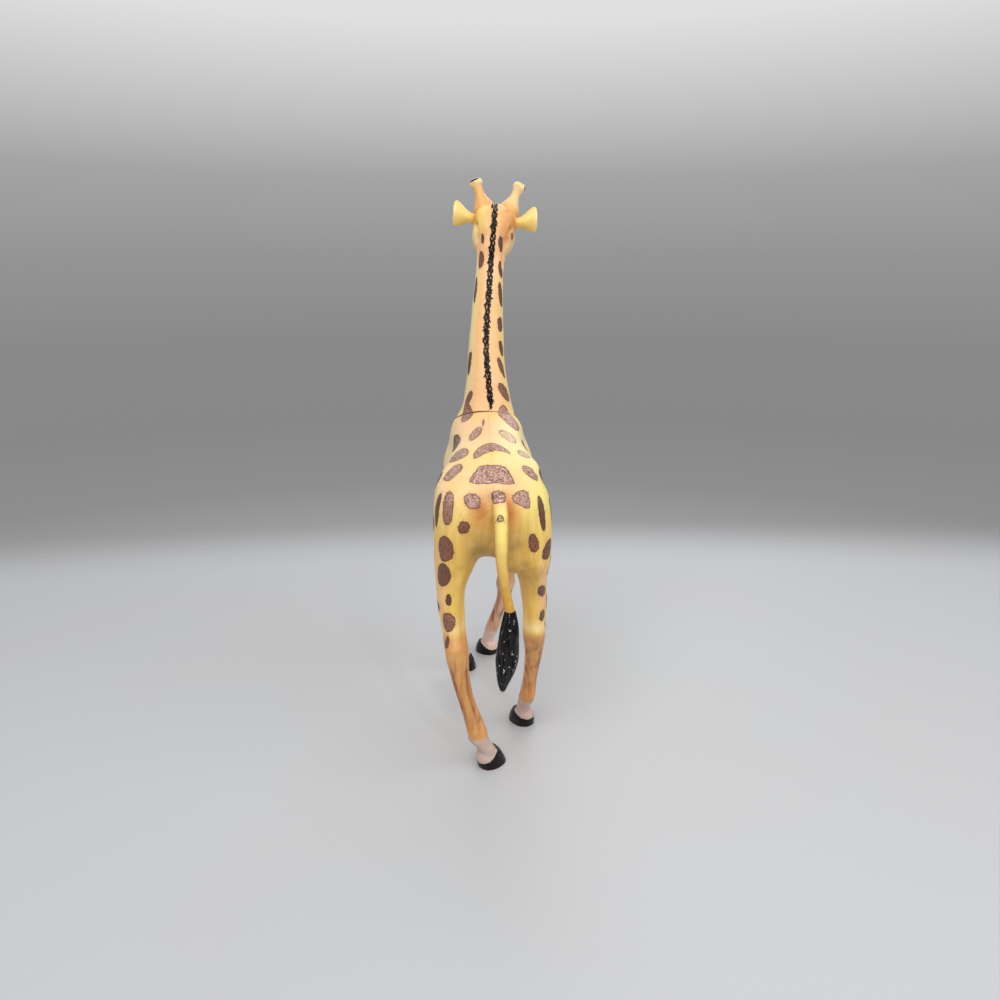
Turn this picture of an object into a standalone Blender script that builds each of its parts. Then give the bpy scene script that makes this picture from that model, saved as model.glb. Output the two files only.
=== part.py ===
"""A walking toy giraffe, moulded hollow in soft plastic.

The trunk and the neck are pairs of hollow halves that meet at a parting line. Four solid legs plug
into the trunk, the tail is trapped in the rump, and the neck turns on a swivel that the trunk halves
hold. +X is the giraffe's right, +Y its front, +Z up, and the floor is z = 0.
"""
import math

import bmesh
import bpy
from mathutils import Matrix, Vector
from mathutils.bvhtree import BVHTree

MM = 0.001

# Trunk: the egg-shaped body from the rump to the chest
TRUNK_LENGTH = 169 * MM
TRUNK_REAR = -101 * MM
TRUNK_CHEST = TRUNK_REAR + TRUNK_LENGTH
TRUNK_BASE = 136 * MM
TRUNK_DEPTH = 110 * MM
TRUNK_WIDTH = 77 * MM
WALL = 2.4 * MM
GAP = 0.3 * MM
OVERRUN = 1 * MM

# Seats of the legs under the trunk, set in from its ends, and the plugs that hold the legs there
HIP_RISE = 14 * MM
HIP_SPREAD = 27 * MM
SHOULDER_SPREAD = 19 * MM
HIND_LEFT_INSET = 25 * MM
HIND_RIGHT_INSET = 31 * MM
FORE_LEFT_INSET = 24 * MM
FORE_RIGHT_INSET = 22 * MM
PLUG_RADIUS = 5.5 * MM
PLUG_HEIGHT = 7 * MM

# Legs: half sizes of the sections at the seats, and how far a foot swings fore or aft of its seat
THIGH_HALF_WIDTH = 15.5 * MM
THIGH_HALF_DEPTH = 24 * MM
UPPER_ARM_HALF_WIDTH = 12.5 * MM
UPPER_ARM_HALF_DEPTH = 17 * MM
LEG_SWING = 30 * MM
HAUNCH_RISE = 64 * MM
SHOULDER_RISE = 76 * MM

# Hooves
HOOF_HEIGHT = 11 * MM
HOOF_HALF_WIDTH = 9.4 * MM
HOOF_HALF_LENGTH = 12 * MM
HOOF_PIN_RADIUS = 2.5 * MM
HOOF_PIN_LENGTH = 4 * MM

# Seam between trunk and neck, set in from the chest and below the withers, and its swivel
SEAM_INSET = 38 * MM
SEAM_DROP = 14.5 * MM
SEAM_TILT = math.radians(25)
SEAM_GAP = 0.4 * MM
DECK = 3.2 * MM
STEM_RADIUS = 9 * MM
FLANGE_RADIUS = 14 * MM
FLANGE = 3 * MM

# Neck
NECK_RISE = 124.5 * MM
NECK_LEAN = 27 * MM
NECK_SWAY = 4.3 * MM
NECK_BASE_HALF_WIDTH = 24.5 * MM
NECK_BASE_HALF_DEPTH = 28 * MM
NECK_LID = 5 * MM

# Mane: a raised strip that starts above the seam and ends above the back of the skull
MANE_WIDTH = 3.2 * MM
MANE_HEIGHT = 1.6 * MM
MANE_SEAT = 0.8 * MM
MANE_FOOT = 14.5 * MM
MANE_CROWN = 14.5 * MM
MANE_DRIFT = 2.2 * MM

# Head, whose back is set above, behind and beside the neck's top
HEAD_LIFT = 29.5 * MM
HEAD_SETBACK = 10 * MM
HEAD_SIDE = 1.9 * MM
HEAD_LENGTH = 80 * MM
HEAD_HALF_WIDTH = 17 * MM
HEAD_HALF_DEPTH = 20 * MM
HEAD_YAW = math.radians(-4)
HEAD_PITCH = math.radians(-17)
HEAD_ROLL = math.radians(7.5)
NAPE_RISE = 26 * MM
NAPE_LEAN = 6 * MM
NAPE_SWAY = 2.8 * MM
NAPE_PLUG_RADIUS = 5 * MM
NAPE_PLUG_LENGTH = 9 * MM

# Horns, ears and eyes
HORN_LENGTH = 31 * MM
HORN_RADIUS = 4.6 * MM
HORN_SOCKET = 5 * MM
HORN_FORWARD = 21 * MM
HORN_SPREAD = 7.5 * MM
HORN_RISE = 12 * MM
EAR_LENGTH = 21.5 * MM
EAR_HALF_HEIGHT = 10.4 * MM
EAR_HALF_THICKNESS = 1.7 * MM
EAR_FORWARD = 15 * MM
EAR_SPREAD = 13 * MM
EAR_RISE = 7.5 * MM
EYE_RADIUS = 3 * MM
EYE_FORWARD = 33 * MM
EYE_SPREAD = 12.5 * MM
EYE_RISE = 5.5 * MM

# Tail and tuft
TAIL_RADIUS = 5.3 * MM
TAIL_ROOT_RISE = 64 * MM
TAIL_INSET = 21 * MM
TAIL_DROP = 71 * MM
TAIL_REACH = 40 * MM
TAIL_SWAY = 9.6 * MM
TAIL_PIN_LENGTH = 8 * MM
TUFT_LENGTH = 57 * MM
TUFT_HALF_WIDTH = 7.1 * MM
TUFT_HALF_DEPTH = 6 * MM

# Locating pins of the trunk halves
PIN_RADIUS = 2 * MM
PIN_LENGTH = 5 * MM
BOSS_RADIUS = 4 * MM

# Trunk sections from rump to chest: place along it, top, bottom, half width
TRUNK_SHARES = (
    (0.0, 0.49, 0.36, 0.14), (0.015, 0.565, 0.29, 0.42), (0.03, 0.60, 0.245, 0.57),
    (0.077, 0.668, 0.19, 0.80), (0.148, 0.745, 0.16, 0.945), (0.243, 0.798, 0.136, 1.0),
    (0.361, 0.845, 0.10, 0.985), (0.509, 0.909, 0.055, 0.955), (0.645, 0.98, 0.018, 0.94),
    (0.746, 1.0, 0.0, 0.915), (0.834, 0.93, 0.009, 0.83), (0.905, 0.82, 0.055, 0.69),
    (0.964, 0.675, 0.145, 0.49), (1.0, 0.51, 0.27, 0.24),
)

# Leg forms: height as a share of the seat height, then width and depth
HIND_FORM_SHARES = (
    (0.0, 0.42, 0.30), (0.07, 0.43, 0.31), (0.14, 0.46, 0.33), (0.20, 0.53, 0.38), (0.29, 0.465, 0.33),
    (0.37, 0.43, 0.31), (0.44, 0.44, 0.32), (0.52, 0.49, 0.37), (0.61, 0.60, 0.48),
    (0.68, 0.57, 0.46), (0.75, 0.60, 0.52), (0.82, 0.62, 0.61), (0.895, 0.69, 0.76), (1.0, 1.0, 1.0),
)
FORE_FORM_SHARES = (
    (0.0, 0.46, 0.40), (0.08, 0.47, 0.41), (0.155, 0.45, 0.39), (0.22, 0.55, 0.47), (0.32, 0.50, 0.42),
    (0.40, 0.50, 0.42), (0.50, 0.59, 0.48), (0.57, 0.71, 0.575), (0.66, 0.64, 0.54),
    (0.77, 0.69, 0.62), (0.88, 0.80, 0.77), (1.0, 1.0, 1.0),
)

# Leg paths: height as a share of the seat height, side as a share of the spread, forward of the swing
HIND_LEFT_PATH_SHARES = (
    (0.0, 0.07, -0.80), (0.07, 0.18, -0.84), (0.14, 0.40, -0.90), (0.20, 0.49, -0.88),
    (0.29, 0.63, -0.91), (0.37, 0.76, -0.93), (0.46, 0.87, -0.93), (0.54, 0.94, -0.90),
    (0.62, 0.99, -0.82), (0.75, 1.08, -0.52), (0.82, 1.12, -0.37), (0.895, 1.11, -0.20), (1.0, 1.0, 0.0),
)
HIND_RIGHT_PATH_SHARES = (
    (0.0, 0.89, 0.83), (0.07, 0.92, 0.73), (0.14, 1.0, 0.61), (0.20, 1.07, 0.48), (0.28, 1.11, 0.37),
    (0.40, 1.14, 0.13), (0.50, 1.15, -0.02), (0.60, 1.13, -0.14), (0.68, 1.13, -0.13),
    (0.76, 1.14, -0.05), (0.86, 1.10, 0.05), (1.0, 1.0, 0.0),
)
FORE_LEFT_PATH_SHARES = (
    (0.0, 1.13, 0.07), (0.08, 1.18, 0.03), (0.155, 1.26, -0.04), (0.22, 1.36, -0.09),
    (0.35, 1.48, -0.09), (0.55, 1.53, 0.0), (0.66, 1.38, 0.01), (0.80, 1.19, 0.01), (1.0, 1.0, 0.0),
)
FORE_RIGHT_PATH_SHARES = (
    (0.0, 0.0, 1.0), (0.08, 0.05, 0.93), (0.155, 0.18, 0.87), (0.22, 0.33, 0.80), (0.28, 0.43, 0.70),
    (0.40, 0.69, 0.57), (0.47, 0.84, 0.50), (0.57, 0.92, 0.46), (0.74, 0.97, 0.33),
    (0.88, 0.98, 0.17), (1.0, 1.0, 0.0),
)

# Muscle of haunch and shoulder above the seats: rise, side, forward, width, depth
HAUNCH_SHARES = (
    (0.0, 1.0, 0.0, 1.0, 1.0), (0.16, 0.95, 0.06, 1.10, 1.08), (0.32, 0.88, 0.12, 1.235, 1.12),
    (0.50, 0.79, 0.17, 1.36, 1.12), (0.69, 0.70, 0.21, 1.35, 1.04), (0.86, 0.58, 0.25, 1.19, 0.88),
    (1.0, 0.44, 0.29, 0.84, 0.62),
)
SHOULDER_SHARES = (
    (0.0, 1.0, 0.0, 1.0, 1.0), (0.13, 0.96, -0.03, 1.12, 1.12), (0.29, 0.90, -0.10, 1.24, 1.24),
    (0.47, 0.82, -0.20, 1.32, 1.32), (0.66, 0.74, -0.32, 1.36, 1.29), (0.84, 0.63, -0.44, 1.24, 1.12),
    (1.0, 0.47, -0.55, 0.96, 0.82),
)

# Toe directions of the hooves: right and forward
HIND_LEFT_TOE = Vector((0.72, 0.69, 0.0))
HIND_RIGHT_TOE = Vector((-0.58, 0.81, 0.0))
FORE_LEFT_TOE = Vector((-0.10, 0.99, 0.0))
FORE_RIGHT_TOE = Vector((-0.70, 0.71, 0.0))

# Hoof sections: height, width, length, and how far the section is set forward
HOOF_SHARES = (
    (0.0, 1.0, 1.0, 0.0), (0.35, 0.98, 0.97, -0.02), (0.75, 0.88, 0.85, -0.10), (1.0, 0.74, 0.70, -0.17),
)

# Neck sections: rise, sway to the right, lean forward, width, depth, tilt of the section
NECK_SHARES = (
    (0.0, 0.0, 0.0, 1.0, 1.0, 1.0), (0.05, 0.03, -0.01, 0.90, 0.93, 1.0),
    (0.12, 0.06, -0.02, 0.80, 0.84, 0.96), (0.23, 0.0, -0.02, 0.70, 0.73, 0.88),
    (0.33, -0.05, 0.06, 0.633, 0.66, 0.80), (0.43, -0.05, 0.19, 0.592, 0.615, 0.72),
    (0.53, 0.07, 0.32, 0.568, 0.583, 0.68), (0.63, 0.21, 0.455, 0.53, 0.554, 0.68),
    (0.73, 0.36, 0.593, 0.507, 0.53, 0.68), (0.83, 0.58, 0.74, 0.478, 0.507, 0.68),
    (0.92, 0.79, 0.89, 0.457, 0.493, 0.68), (1.0, 1.0, 1.0, 0.457, 0.50, 0.68),
)

# Nape, from the neck's top ring up into the skull: rise, sway, lean, width, depth of that ring
NAPE_SHARES = (
    (0.0, 0.0, 0.0, 1.0, 1.0), (0.25, 0.2, 0.15, 1.15, 1.10), (0.6, 0.6, 0.5, 1.30, 1.15),
    (1.0, 1.0, 1.0, 1.10, 0.95),
)

# Head sections from the back of the skull to the muzzle: place, rise, half width, half depth
HEAD_SHARES = (
    (0.0, 0.05, 0.42, 0.40), (0.06, 0.025, 0.71, 0.675), (0.15, 0.0, 0.92, 0.90),
    (0.27, -0.025, 1.0, 1.0), (0.38, -0.025, 0.96, 0.925), (0.50, -0.05, 0.765, 0.725),
    (0.62, -0.10, 0.60, 0.575), (0.75, -0.125, 0.53, 0.50), (0.87, -0.125, 0.56, 0.49),
    (0.95, -0.125, 0.48, 0.40), (1.0, -0.125, 0.26, 0.225),
)

# Horn profile: height along it and radius
HORN_SHARES = (
    (0.0, 1.0), (0.16, 1.0), (0.30, 0.93), (0.55, 0.76), (0.76, 0.74), (0.86, 0.93), (0.93, 0.98),
    (0.98, 0.80),
)
LEFT_HORN_LEAN = Vector((-0.30, 0.10, 0.95))
RIGHT_HORN_LEAN = Vector((0.42, 0.10, 0.90))

# Ear sections from the root outwards: place, half height, thickness, rise
EAR_SHARES = (
    (0.0, 0.30, 1.0, -0.06), (0.30, 0.36, 1.1, -0.06), (0.50, 0.56, 1.1, -0.02), (0.70, 0.84, 1.0, 0.05),
    (0.86, 1.0, 0.9, 0.10), (0.96, 0.88, 0.75, 0.14), (1.0, 0.60, 0.5, 0.16),
)
LEFT_EAR_LEAN = Vector((-0.975, -0.15, 0.12))
RIGHT_EAR_LEAN = Vector((0.98, -0.15, 0.03))

# Tail path: share of its run, drop, reach to the rear, sway to the right, radius
TAIL_SHARES = (
    (0.0, 0.0, 0.0, 0.20, 1.18), (0.05, 0.0, 0.11, 0.22, 1.10), (0.10, -0.005, 0.22, 0.28, 0.93),
    (0.17, 0.0, 0.36, 0.34, 0.97), (0.25, 0.045, 0.50, 0.40, 0.98), (0.35, 0.14, 0.64, 0.45, 0.91),
    (0.46, 0.27, 0.74, 0.44, 0.85), (0.57, 0.40, 0.82, 0.44, 0.81), (0.68, 0.54, 0.87, 0.45, 0.72),
    (0.79, 0.67, 0.92, 0.57, 0.68), (0.90, 0.81, 0.95, 0.73, 0.62), (1.0, 1.0, 1.0, 1.0, 0.62),
)
TAIL_PIN_RADIUS_SHARE = 0.36

# Tuft sections: place along it, half width, sway to the left as a share of the tuft's half width
TUFT_SHARES = (
    (0.0, 0.50, 0.0), (0.16, 0.72, 0.04), (0.35, 0.91, 0.14), (0.54, 1.0, 0.24), (0.73, 0.78, 0.38),
    (0.88, 0.46, 0.62), (0.97, 0.24, 0.68), (1.0, 0.12, 0.69),
)

# Places of the locating pins: along the trunk and up it
PIN_SHARES = ((0.28, 0.42), (0.52, 0.27), (0.80, 0.25))

MANE_CREST_SHARE = 0.7

# How finely the pieces are divided
TRUNK_STEPS, TRUNK_SIDES = 22, 24
LIMB_STEPS, LIMB_SIDES = 17, 14
STUB_STEPS = 6
NECK_STEPS, NECK_SIDES = 14, 20
HEAD_STEPS, HEAD_SIDES = 15, 16
EAR_STEPS, EAR_SIDES = 8, 10
TUFT_STEPS, TUFT_SIDES = 10, 10
HOOF_SIDES = 14
ROUND_SIDES = 20
HORN_SIDES = 12
MANE_STEPS = 24
TAIL_STEPS = 16
TRUNK_POWER = 2.35
LIMB_POWER = 2.1
ROUND_POWER = 2.0

UP = Vector((0.0, 0.0, 1.0))
FRONT = Vector((0.0, 1.0, 0.0))
RIGHT = Vector((1.0, 0.0, 0.0))
SEAM_HEIGHT = TRUNK_BASE + TRUNK_DEPTH - SEAM_DROP
SEAM_CENTRE = Vector((0.0, TRUNK_CHEST - SEAM_INSET, SEAM_HEIGHT))
SEAM_AXIS = Vector((0.0, math.sin(SEAM_TILT), math.cos(SEAM_TILT)))
HEAD_BACK = SEAM_CENTRE + Vector((NECK_SWAY + HEAD_SIDE, NECK_LEAN - HEAD_SETBACK,
                                  NECK_RISE + HEAD_LIFT))
MANE_LOW = SEAM_HEIGHT + MANE_FOOT
MANE_TOP = HEAD_BACK.z + MANE_CROWN
HEAD_TURN = (Matrix.Rotation(HEAD_YAW, 3, "Z") @ Matrix.Rotation(HEAD_PITCH, 3, "X")
             @ Matrix.Rotation(HEAD_ROLL, 3, "Y"))


def clear_scene():
    """Remove every object, so the script builds the giraffe and nothing else."""
    for item in list(bpy.data.objects):
        bpy.data.objects.remove(item, do_unlink=True)


def make_collection(name):
    """Collection linked to the scene."""
    group = bpy.data.collections.new(name)
    bpy.context.scene.collection.children.link(group)
    return group


def make_finish(name, colour, roughness, metallic=0.0):
    """Principled material with one plain colour."""
    finish = bpy.data.materials.new(name)
    finish.use_nodes = True
    shader = finish.node_tree.nodes["Principled BSDF"]
    shader.inputs["Base Color"].default_value = (*colour, 1.0)
    shader.inputs["Roughness"].default_value = roughness
    shader.inputs["Metallic"].default_value = metallic
    return finish


def value_at(rows, place):
    """Values of a table at a place, read from a smooth curve through its rows."""
    last = len(rows) - 1
    index = max([i for i in range(last) if rows[i][0] <= place], default=0)
    start, end = rows[index], rows[index + 1]
    span = end[0] - start[0]
    t = (place - start[0]) / span
    values = []
    for column in range(1, len(start)):
        slopes = []
        for i in (index, index + 1):
            before, after = rows[max(i - 1, 0)], rows[min(i + 1, last)]
            slopes.append((after[column] - before[column]) / (after[0] - before[0]) * span)
        values.append((2 * t ** 3 - 3 * t ** 2 + 1) * start[column] + (t ** 3 - 2 * t ** 2 + t) * slopes[0]
                      + (3 * t ** 2 - 2 * t ** 3) * end[column] + (t ** 3 - t ** 2) * slopes[1])
    return values


def spaced(count):
    """Shares from 0 to 1, closer together at both ends."""
    return [0.5 - 0.5 * math.cos(math.pi * i / count) for i in range(count + 1)]


def even(count, start=0.0, end=1.0):
    """Shares from start to end at equal steps."""
    return [start + (end - start) * i / count for i in range(count + 1)]


def ring(centre, side, depth, power, count):
    """Points of a rounded section whose half axes are the vectors side and depth."""
    points = []
    for i in range(count):
        angle = math.tau * i / count
        across, along = math.cos(angle), math.sin(angle)
        points.append(centre + side * math.copysign(abs(across) ** (2 / power), across)
                      + depth * math.copysign(abs(along) ** (2 / power), along))
    return points


def loft(rings):
    """Closed body through rings of equally many points."""
    body = bmesh.new()
    rows = [[body.verts.new(point) for point in points] for points in rings]
    for lower, upper in zip(rows, rows[1:]):
        for i, corner in enumerate(lower):
            j = (i + 1) % len(lower)
            body.faces.new((corner, lower[j], upper[j], upper[i]))
    body.faces.new(rows[0])
    body.faces.new(list(reversed(rows[-1])))
    bmesh.ops.recalc_face_normals(body, faces=body.faces)
    return body


def cylinder(radius, start, end, sides=ROUND_SIDES):
    """Round bar between two points."""
    body = bmesh.new()
    run = end - start
    turn = UP.rotation_difference(run.normalized()).to_matrix().to_4x4()
    place = Matrix.Translation((start + end) / 2) @ turn
    bmesh.ops.create_cone(body, cap_ends=True, segments=sides, radius1=radius, radius2=radius,
                          depth=run.length, matrix=place)
    return body


def block(low, high, place=Matrix.Identity(4)):
    """Box between two corners, in the frame of the matrix place."""
    body = bmesh.new()
    middle = (low + high) / 2
    size = Matrix.Diagonal((*(high - low), 1.0))
    bmesh.ops.create_cube(body, size=1.0, matrix=place @ Matrix.Translation(middle) @ size)
    return body


def turned(profile, base, axis, sides=ROUND_SIDES):
    """Body turned from (radius, height) pairs, standing on base along axis."""
    outline = [(0.0, profile[0][1])] + list(profile) + [(0.0, profile[-1][1])]
    wire = bpy.data.meshes.new("profile")
    wire.from_pydata([(radius, 0.0, height) for radius, height in reversed(outline)],
                     [(i, i + 1) for i in range(len(outline) - 1)], [])
    lathe = bpy.data.objects.new("profile", wire)
    bpy.context.scene.collection.objects.link(lathe)
    spin = lathe.modifiers.new("turn", "SCREW")
    spin.steps = spin.render_steps = sides
    spin.use_merge_vertices = True
    spin.merge_threshold = GAP / 100
    bpy.context.view_layer.update()
    mesh = bpy.data.meshes.new_from_object(lathe.evaluated_get(bpy.context.evaluated_depsgraph_get()))
    body = bmesh.new()
    body.from_mesh(mesh)
    bmesh.ops.remove_doubles(body, verts=body.verts, dist=GAP / 100)
    turn = UP.rotation_difference(axis).to_matrix().to_4x4()
    bmesh.ops.transform(body, matrix=Matrix.Translation(base) @ turn, verts=body.verts)
    bmesh.ops.recalc_face_normals(body, faces=body.faces)
    bpy.data.objects.remove(lathe)
    return body


def tube(points, radii):
    """Bent rod of changing radius, from a curve with filled ends."""
    curve = bpy.data.curves.new("tube", "CURVE")
    curve.dimensions = "3D"
    curve.bevel_depth = 1.0
    curve.bevel_resolution = 3
    curve.use_fill_caps = True
    spline = curve.splines.new("POLY")
    spline.points.add(len(points) - 1)
    for target, point, radius in zip(spline.points, points, radii):
        target.co = (*point, 1.0)
        target.radius = radius
    rod = bpy.data.objects.new("tube", curve)
    bpy.context.scene.collection.objects.link(rod)
    bpy.context.view_layer.update()
    mesh = bpy.data.meshes.new_from_object(rod.evaluated_get(bpy.context.evaluated_depsgraph_get()))
    body = bmesh.new()
    body.from_mesh(mesh)
    bmesh.ops.remove_doubles(body, verts=body.verts, dist=GAP / 100)
    bmesh.ops.recalc_face_normals(body, faces=body.faces)
    bpy.data.objects.remove(rod)
    return body


class Toy:
    """The collections, finishes and objects of the figure."""

    def __init__(self):
        self.parts = make_collection("toy_giraffe")
        self.cutters = make_collection("cutters")
        self.finishes = {
            "skin": make_finish("yellow_skin", (0.86, 0.66, 0.25), 0.45),
            "shank": make_finish("orange_shank", (0.62, 0.33, 0.14), 0.45),
            "black": make_finish("black_gloss", (0.012, 0.011, 0.012), 0.22),
            "inner": make_finish("plain_plastic", (0.55, 0.53, 0.50), 0.5),
        }

    def _add(self, name, body, origin, group):
        bmesh.ops.translate(body, vec=-origin, verts=body.verts)
        mesh = bpy.data.meshes.new(name)
        body.to_mesh(mesh)
        body.free()
        mesh.shade_smooth()
        mesh.set_sharp_from_angle(angle=math.radians(40))
        item = bpy.data.objects.new(name, mesh)
        item.location = origin
        group.objects.link(item)
        return item

    def part(self, name, body, finish, origin):
        """Named piece of the toy, with its origin where it is fixed or turns."""
        item = self._add(name, body, origin, self.parts)
        item.data.materials.append(self.finishes[finish])
        return item

    def cutter(self, name, body):
        """Guide solid that is subtracted from, joined to or crossed with pieces."""
        item = self._add(name, body, Vector((0.0, 0.0, 0.0)), self.cutters)
        item.hide_render = True
        item.display_type = "WIRE"
        return item


def combine(target, operation, *others):
    """Boolean of the target with each of the others in turn."""
    for other in others:
        step = target.modifiers.new(other.name, "BOOLEAN")
        step.operation = operation
        step.solver = "EXACT"
        step.object = other


def trunk_body(inset=0.0):
    """The trunk's egg shape, or its hollow when inset is the wall."""
    rings = []
    for share in spaced(TRUNK_STEPS):
        top, bottom, width = value_at(TRUNK_SHARES, share)
        along = TRUNK_REAR + inset + share * (TRUNK_LENGTH - 2 * inset)
        middle = TRUNK_BASE + TRUNK_DEPTH * (top + bottom) / 2
        half_depth = max(TRUNK_DEPTH * (top - bottom) / 2 - inset, WALL)
        half_width = max(TRUNK_WIDTH / 2 * width - inset, WALL)
        rings.append(ring(Vector((0.0, along, middle)), RIGHT * half_width, UP * half_depth,
                          TRUNK_POWER, TRUNK_SIDES))
    return loft(rings)


def trunk_side(along_share, rise_share):
    """Half width of the trunk at a place along and up it."""
    top, bottom, width = value_at(TRUNK_SHARES, along_share)
    off_middle = abs(rise_share - (top + bottom) / 2) / ((top - bottom) / 2)
    return TRUNK_WIDTH / 2 * width * (1 - off_middle ** TRUNK_POWER) ** (1 / TRUNK_POWER)


class Limb:
    """One leg: its seat under the trunk, its path to the floor and its hoof."""

    def __init__(self, name, side, hind, seat, path, toe):
        self.name = name
        self.side = side
        self.seat_y = seat
        self.path = path
        self.toe = toe.normalized()
        self.seat_height = TRUNK_BASE + HIP_RISE if hind else TRUNK_BASE
        self.spread = HIP_SPREAD if hind else SHOULDER_SPREAD
        self.half_width = THIGH_HALF_WIDTH if hind else UPPER_ARM_HALF_WIDTH
        self.half_depth = THIGH_HALF_DEPTH if hind else UPPER_ARM_HALF_DEPTH
        self.form = HIND_FORM_SHARES if hind else FORE_FORM_SHARES
        self.muscle = HAUNCH_SHARES if hind else SHOULDER_SHARES
        self.rise = HAUNCH_RISE if hind else SHOULDER_RISE

    def centre(self, share):
        """Point of the leg's path at a share of the seat height."""
        side, forward = value_at(self.path, share)
        return Vector((self.side * self.spread * side, self.seat_y + LEG_SWING * forward,
                       self.seat_height * share))

    def seat(self):
        """Centre of the flat seat under the trunk."""
        return self.centre(1.0)

    def leg_body(self):
        """The leg from the hoof's top to just under its seat."""
        low = (HOOF_HEIGHT + GAP) / self.seat_height
        high = 1.0 - GAP / self.seat_height
        rings = []
        for share in even(LIMB_STEPS, low, high):
            width, depth = value_at(self.form, share)
            rings.append(ring(self.centre(share), RIGHT * self.half_width * width,
                              FRONT * self.half_depth * depth, LIMB_POWER, LIMB_SIDES))
        return loft(rings)

    def stub_body(self):
        """The muscle of the trunk above the seat."""
        rings = []
        for share in even(STUB_STEPS):
            side, forward, width, depth = value_at(self.muscle, share)
            centre = Vector((self.side * self.spread * side, self.seat_y + self.half_depth * forward,
                             self.seat_height + self.rise * share))
            rings.append(ring(centre, RIGHT * self.half_width * width, FRONT * self.half_depth * depth,
                              LIMB_POWER, LIMB_SIDES))
        return loft(rings)

    def plug_body(self, clearance=0.0):
        """The plug on the leg's top, or its socket when there is a clearance."""
        seat = self.seat()
        return cylinder(PLUG_RADIUS + clearance, seat - UP * OVERRUN,
                        seat + UP * (PLUG_HEIGHT + clearance))

    def hoof_pin_body(self, clearance=0.0):
        """The pin under the leg that holds the hoof, or its socket."""
        top = self.centre(HOOF_HEIGHT / self.seat_height)
        return cylinder(HOOF_PIN_RADIUS + clearance, top - UP * (HOOF_PIN_LENGTH + clearance),
                        top + UP * OVERRUN, HOOF_SIDES)

    def hoof_body(self):
        """The hoof, flat under the leg and longest towards its toe."""
        foot = self.centre(0.0)
        top = self.centre(HOOF_HEIGHT / self.seat_height)
        across = Vector((self.toe.y, -self.toe.x, 0.0))
        rings = []
        for height, width, length, back in HOOF_SHARES:
            centre = foot.lerp(Vector((top.x, top.y, 0.0)), height)
            centre = centre + self.toe * HOOF_HALF_LENGTH * back * (1 - height)
            rings.append(ring(centre + UP * HOOF_HEIGHT * height, across * HOOF_HALF_WIDTH * width,
                              self.toe * HOOF_HALF_LENGTH * length, LIMB_POWER, HOOF_SIDES))
        return loft(rings)


LIMBS = (
    Limb("hind_left", -1, True, TRUNK_REAR + HIND_LEFT_INSET, HIND_LEFT_PATH_SHARES, HIND_LEFT_TOE),
    Limb("hind_right", 1, True, TRUNK_REAR + HIND_RIGHT_INSET, HIND_RIGHT_PATH_SHARES, HIND_RIGHT_TOE),
    Limb("front_left", -1, False, TRUNK_CHEST - FORE_LEFT_INSET, FORE_LEFT_PATH_SHARES, FORE_LEFT_TOE),
    Limb("front_right", 1, False, TRUNK_CHEST - FORE_RIGHT_INSET, FORE_RIGHT_PATH_SHARES,
         FORE_RIGHT_TOE),
)


def build_legs(toy):
    """Four legs with their plugs, and the hooves that are pinned under them."""
    for limb in LIMBS:
        leg = toy.part(limb.name + "_leg", limb.leg_body(), "shank", limb.seat())
        plug = toy.cutter(limb.name + "_plug", limb.plug_body())
        pin = toy.cutter(limb.name + "_pin", limb.hoof_pin_body())
        combine(leg, "UNION", plug, pin)
        hoof = toy.part(limb.name + "_hoof", limb.hoof_body(), "black", limb.centre(0.0))
        combine(hoof, "DIFFERENCE", toy.cutter(limb.name + "_pin_socket", limb.hoof_pin_body(GAP)))


def tail_route():
    """Points and radii of the tail, from its bulb inside the rump to its end."""
    points, radii = [], []
    for share in even(TAIL_STEPS):
        drop, reach, sway, radius = value_at(TAIL_SHARES, share)
        points.append(Vector((TAIL_SWAY * sway, TRUNK_REAR + TAIL_INSET - TAIL_REACH * reach,
                              TRUNK_BASE + TAIL_ROOT_RISE - TAIL_DROP * drop)))
        radii.append(TAIL_RADIUS * radius)
    return points, radii


def tail_pin(clearance=0.0):
    """The thin end of the tail that holds the tuft, or its socket."""
    points, _ = tail_route()
    end = points[-1]
    run = (end - points[-2]).normalized()
    return cylinder(TAIL_RADIUS * TAIL_PIN_RADIUS_SHARE + clearance, end - run * OVERRUN,
                    end + run * (TAIL_PIN_LENGTH + clearance), TUFT_SIDES)


def build_tail(toy):
    """The tail and the tuft over its end."""
    points, radii = tail_route()
    tail = toy.part("tail", tube(points, radii), "skin", points[0])
    combine(tail, "UNION", toy.cutter("tail_pin", tail_pin()))
    run = (points[-1] - points[-2]).normalized()
    side = (RIGHT - run * RIGHT.dot(run)).normalized()
    depth = side.cross(run).normalized()
    start = points[-1] + run * GAP
    rings = []
    for share in spaced(TUFT_STEPS):
        width, sway = value_at(TUFT_SHARES, share)
        centre = start - UP * TUFT_LENGTH * share - RIGHT * TUFT_HALF_WIDTH * sway
        level = min(share * 4, 1.0)
        across = side.lerp(RIGHT, level).normalized()
        along = depth.lerp(FRONT, level).normalized()
        rings.append(ring(centre, across * TUFT_HALF_WIDTH * width, along * TUFT_HALF_DEPTH * width,
                          ROUND_POWER, TUFT_SIDES))
    tuft = toy.part("tail_tuft", loft(rings), "black", start)
    combine(tuft, "DIFFERENCE", toy.cutter("tail_pin_socket", tail_pin(GAP)))
    hole = toy.cutter("tail_hole", tube(points, [radius + GAP for radius in radii]))
    return hole


def half_space(side, gap=GAP):
    """Block that covers one side of the middle plane, short of it by half the gap."""
    reach = TRUNK_LENGTH
    near, far = side * gap / 2, side * TRUNK_LENGTH
    low = Vector((min(near, far), TRUNK_REAR - reach, 0.0))
    high = Vector((max(near, far), TRUNK_CHEST + reach, SEAM_HEIGHT + reach))
    return block(low, high)


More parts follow.
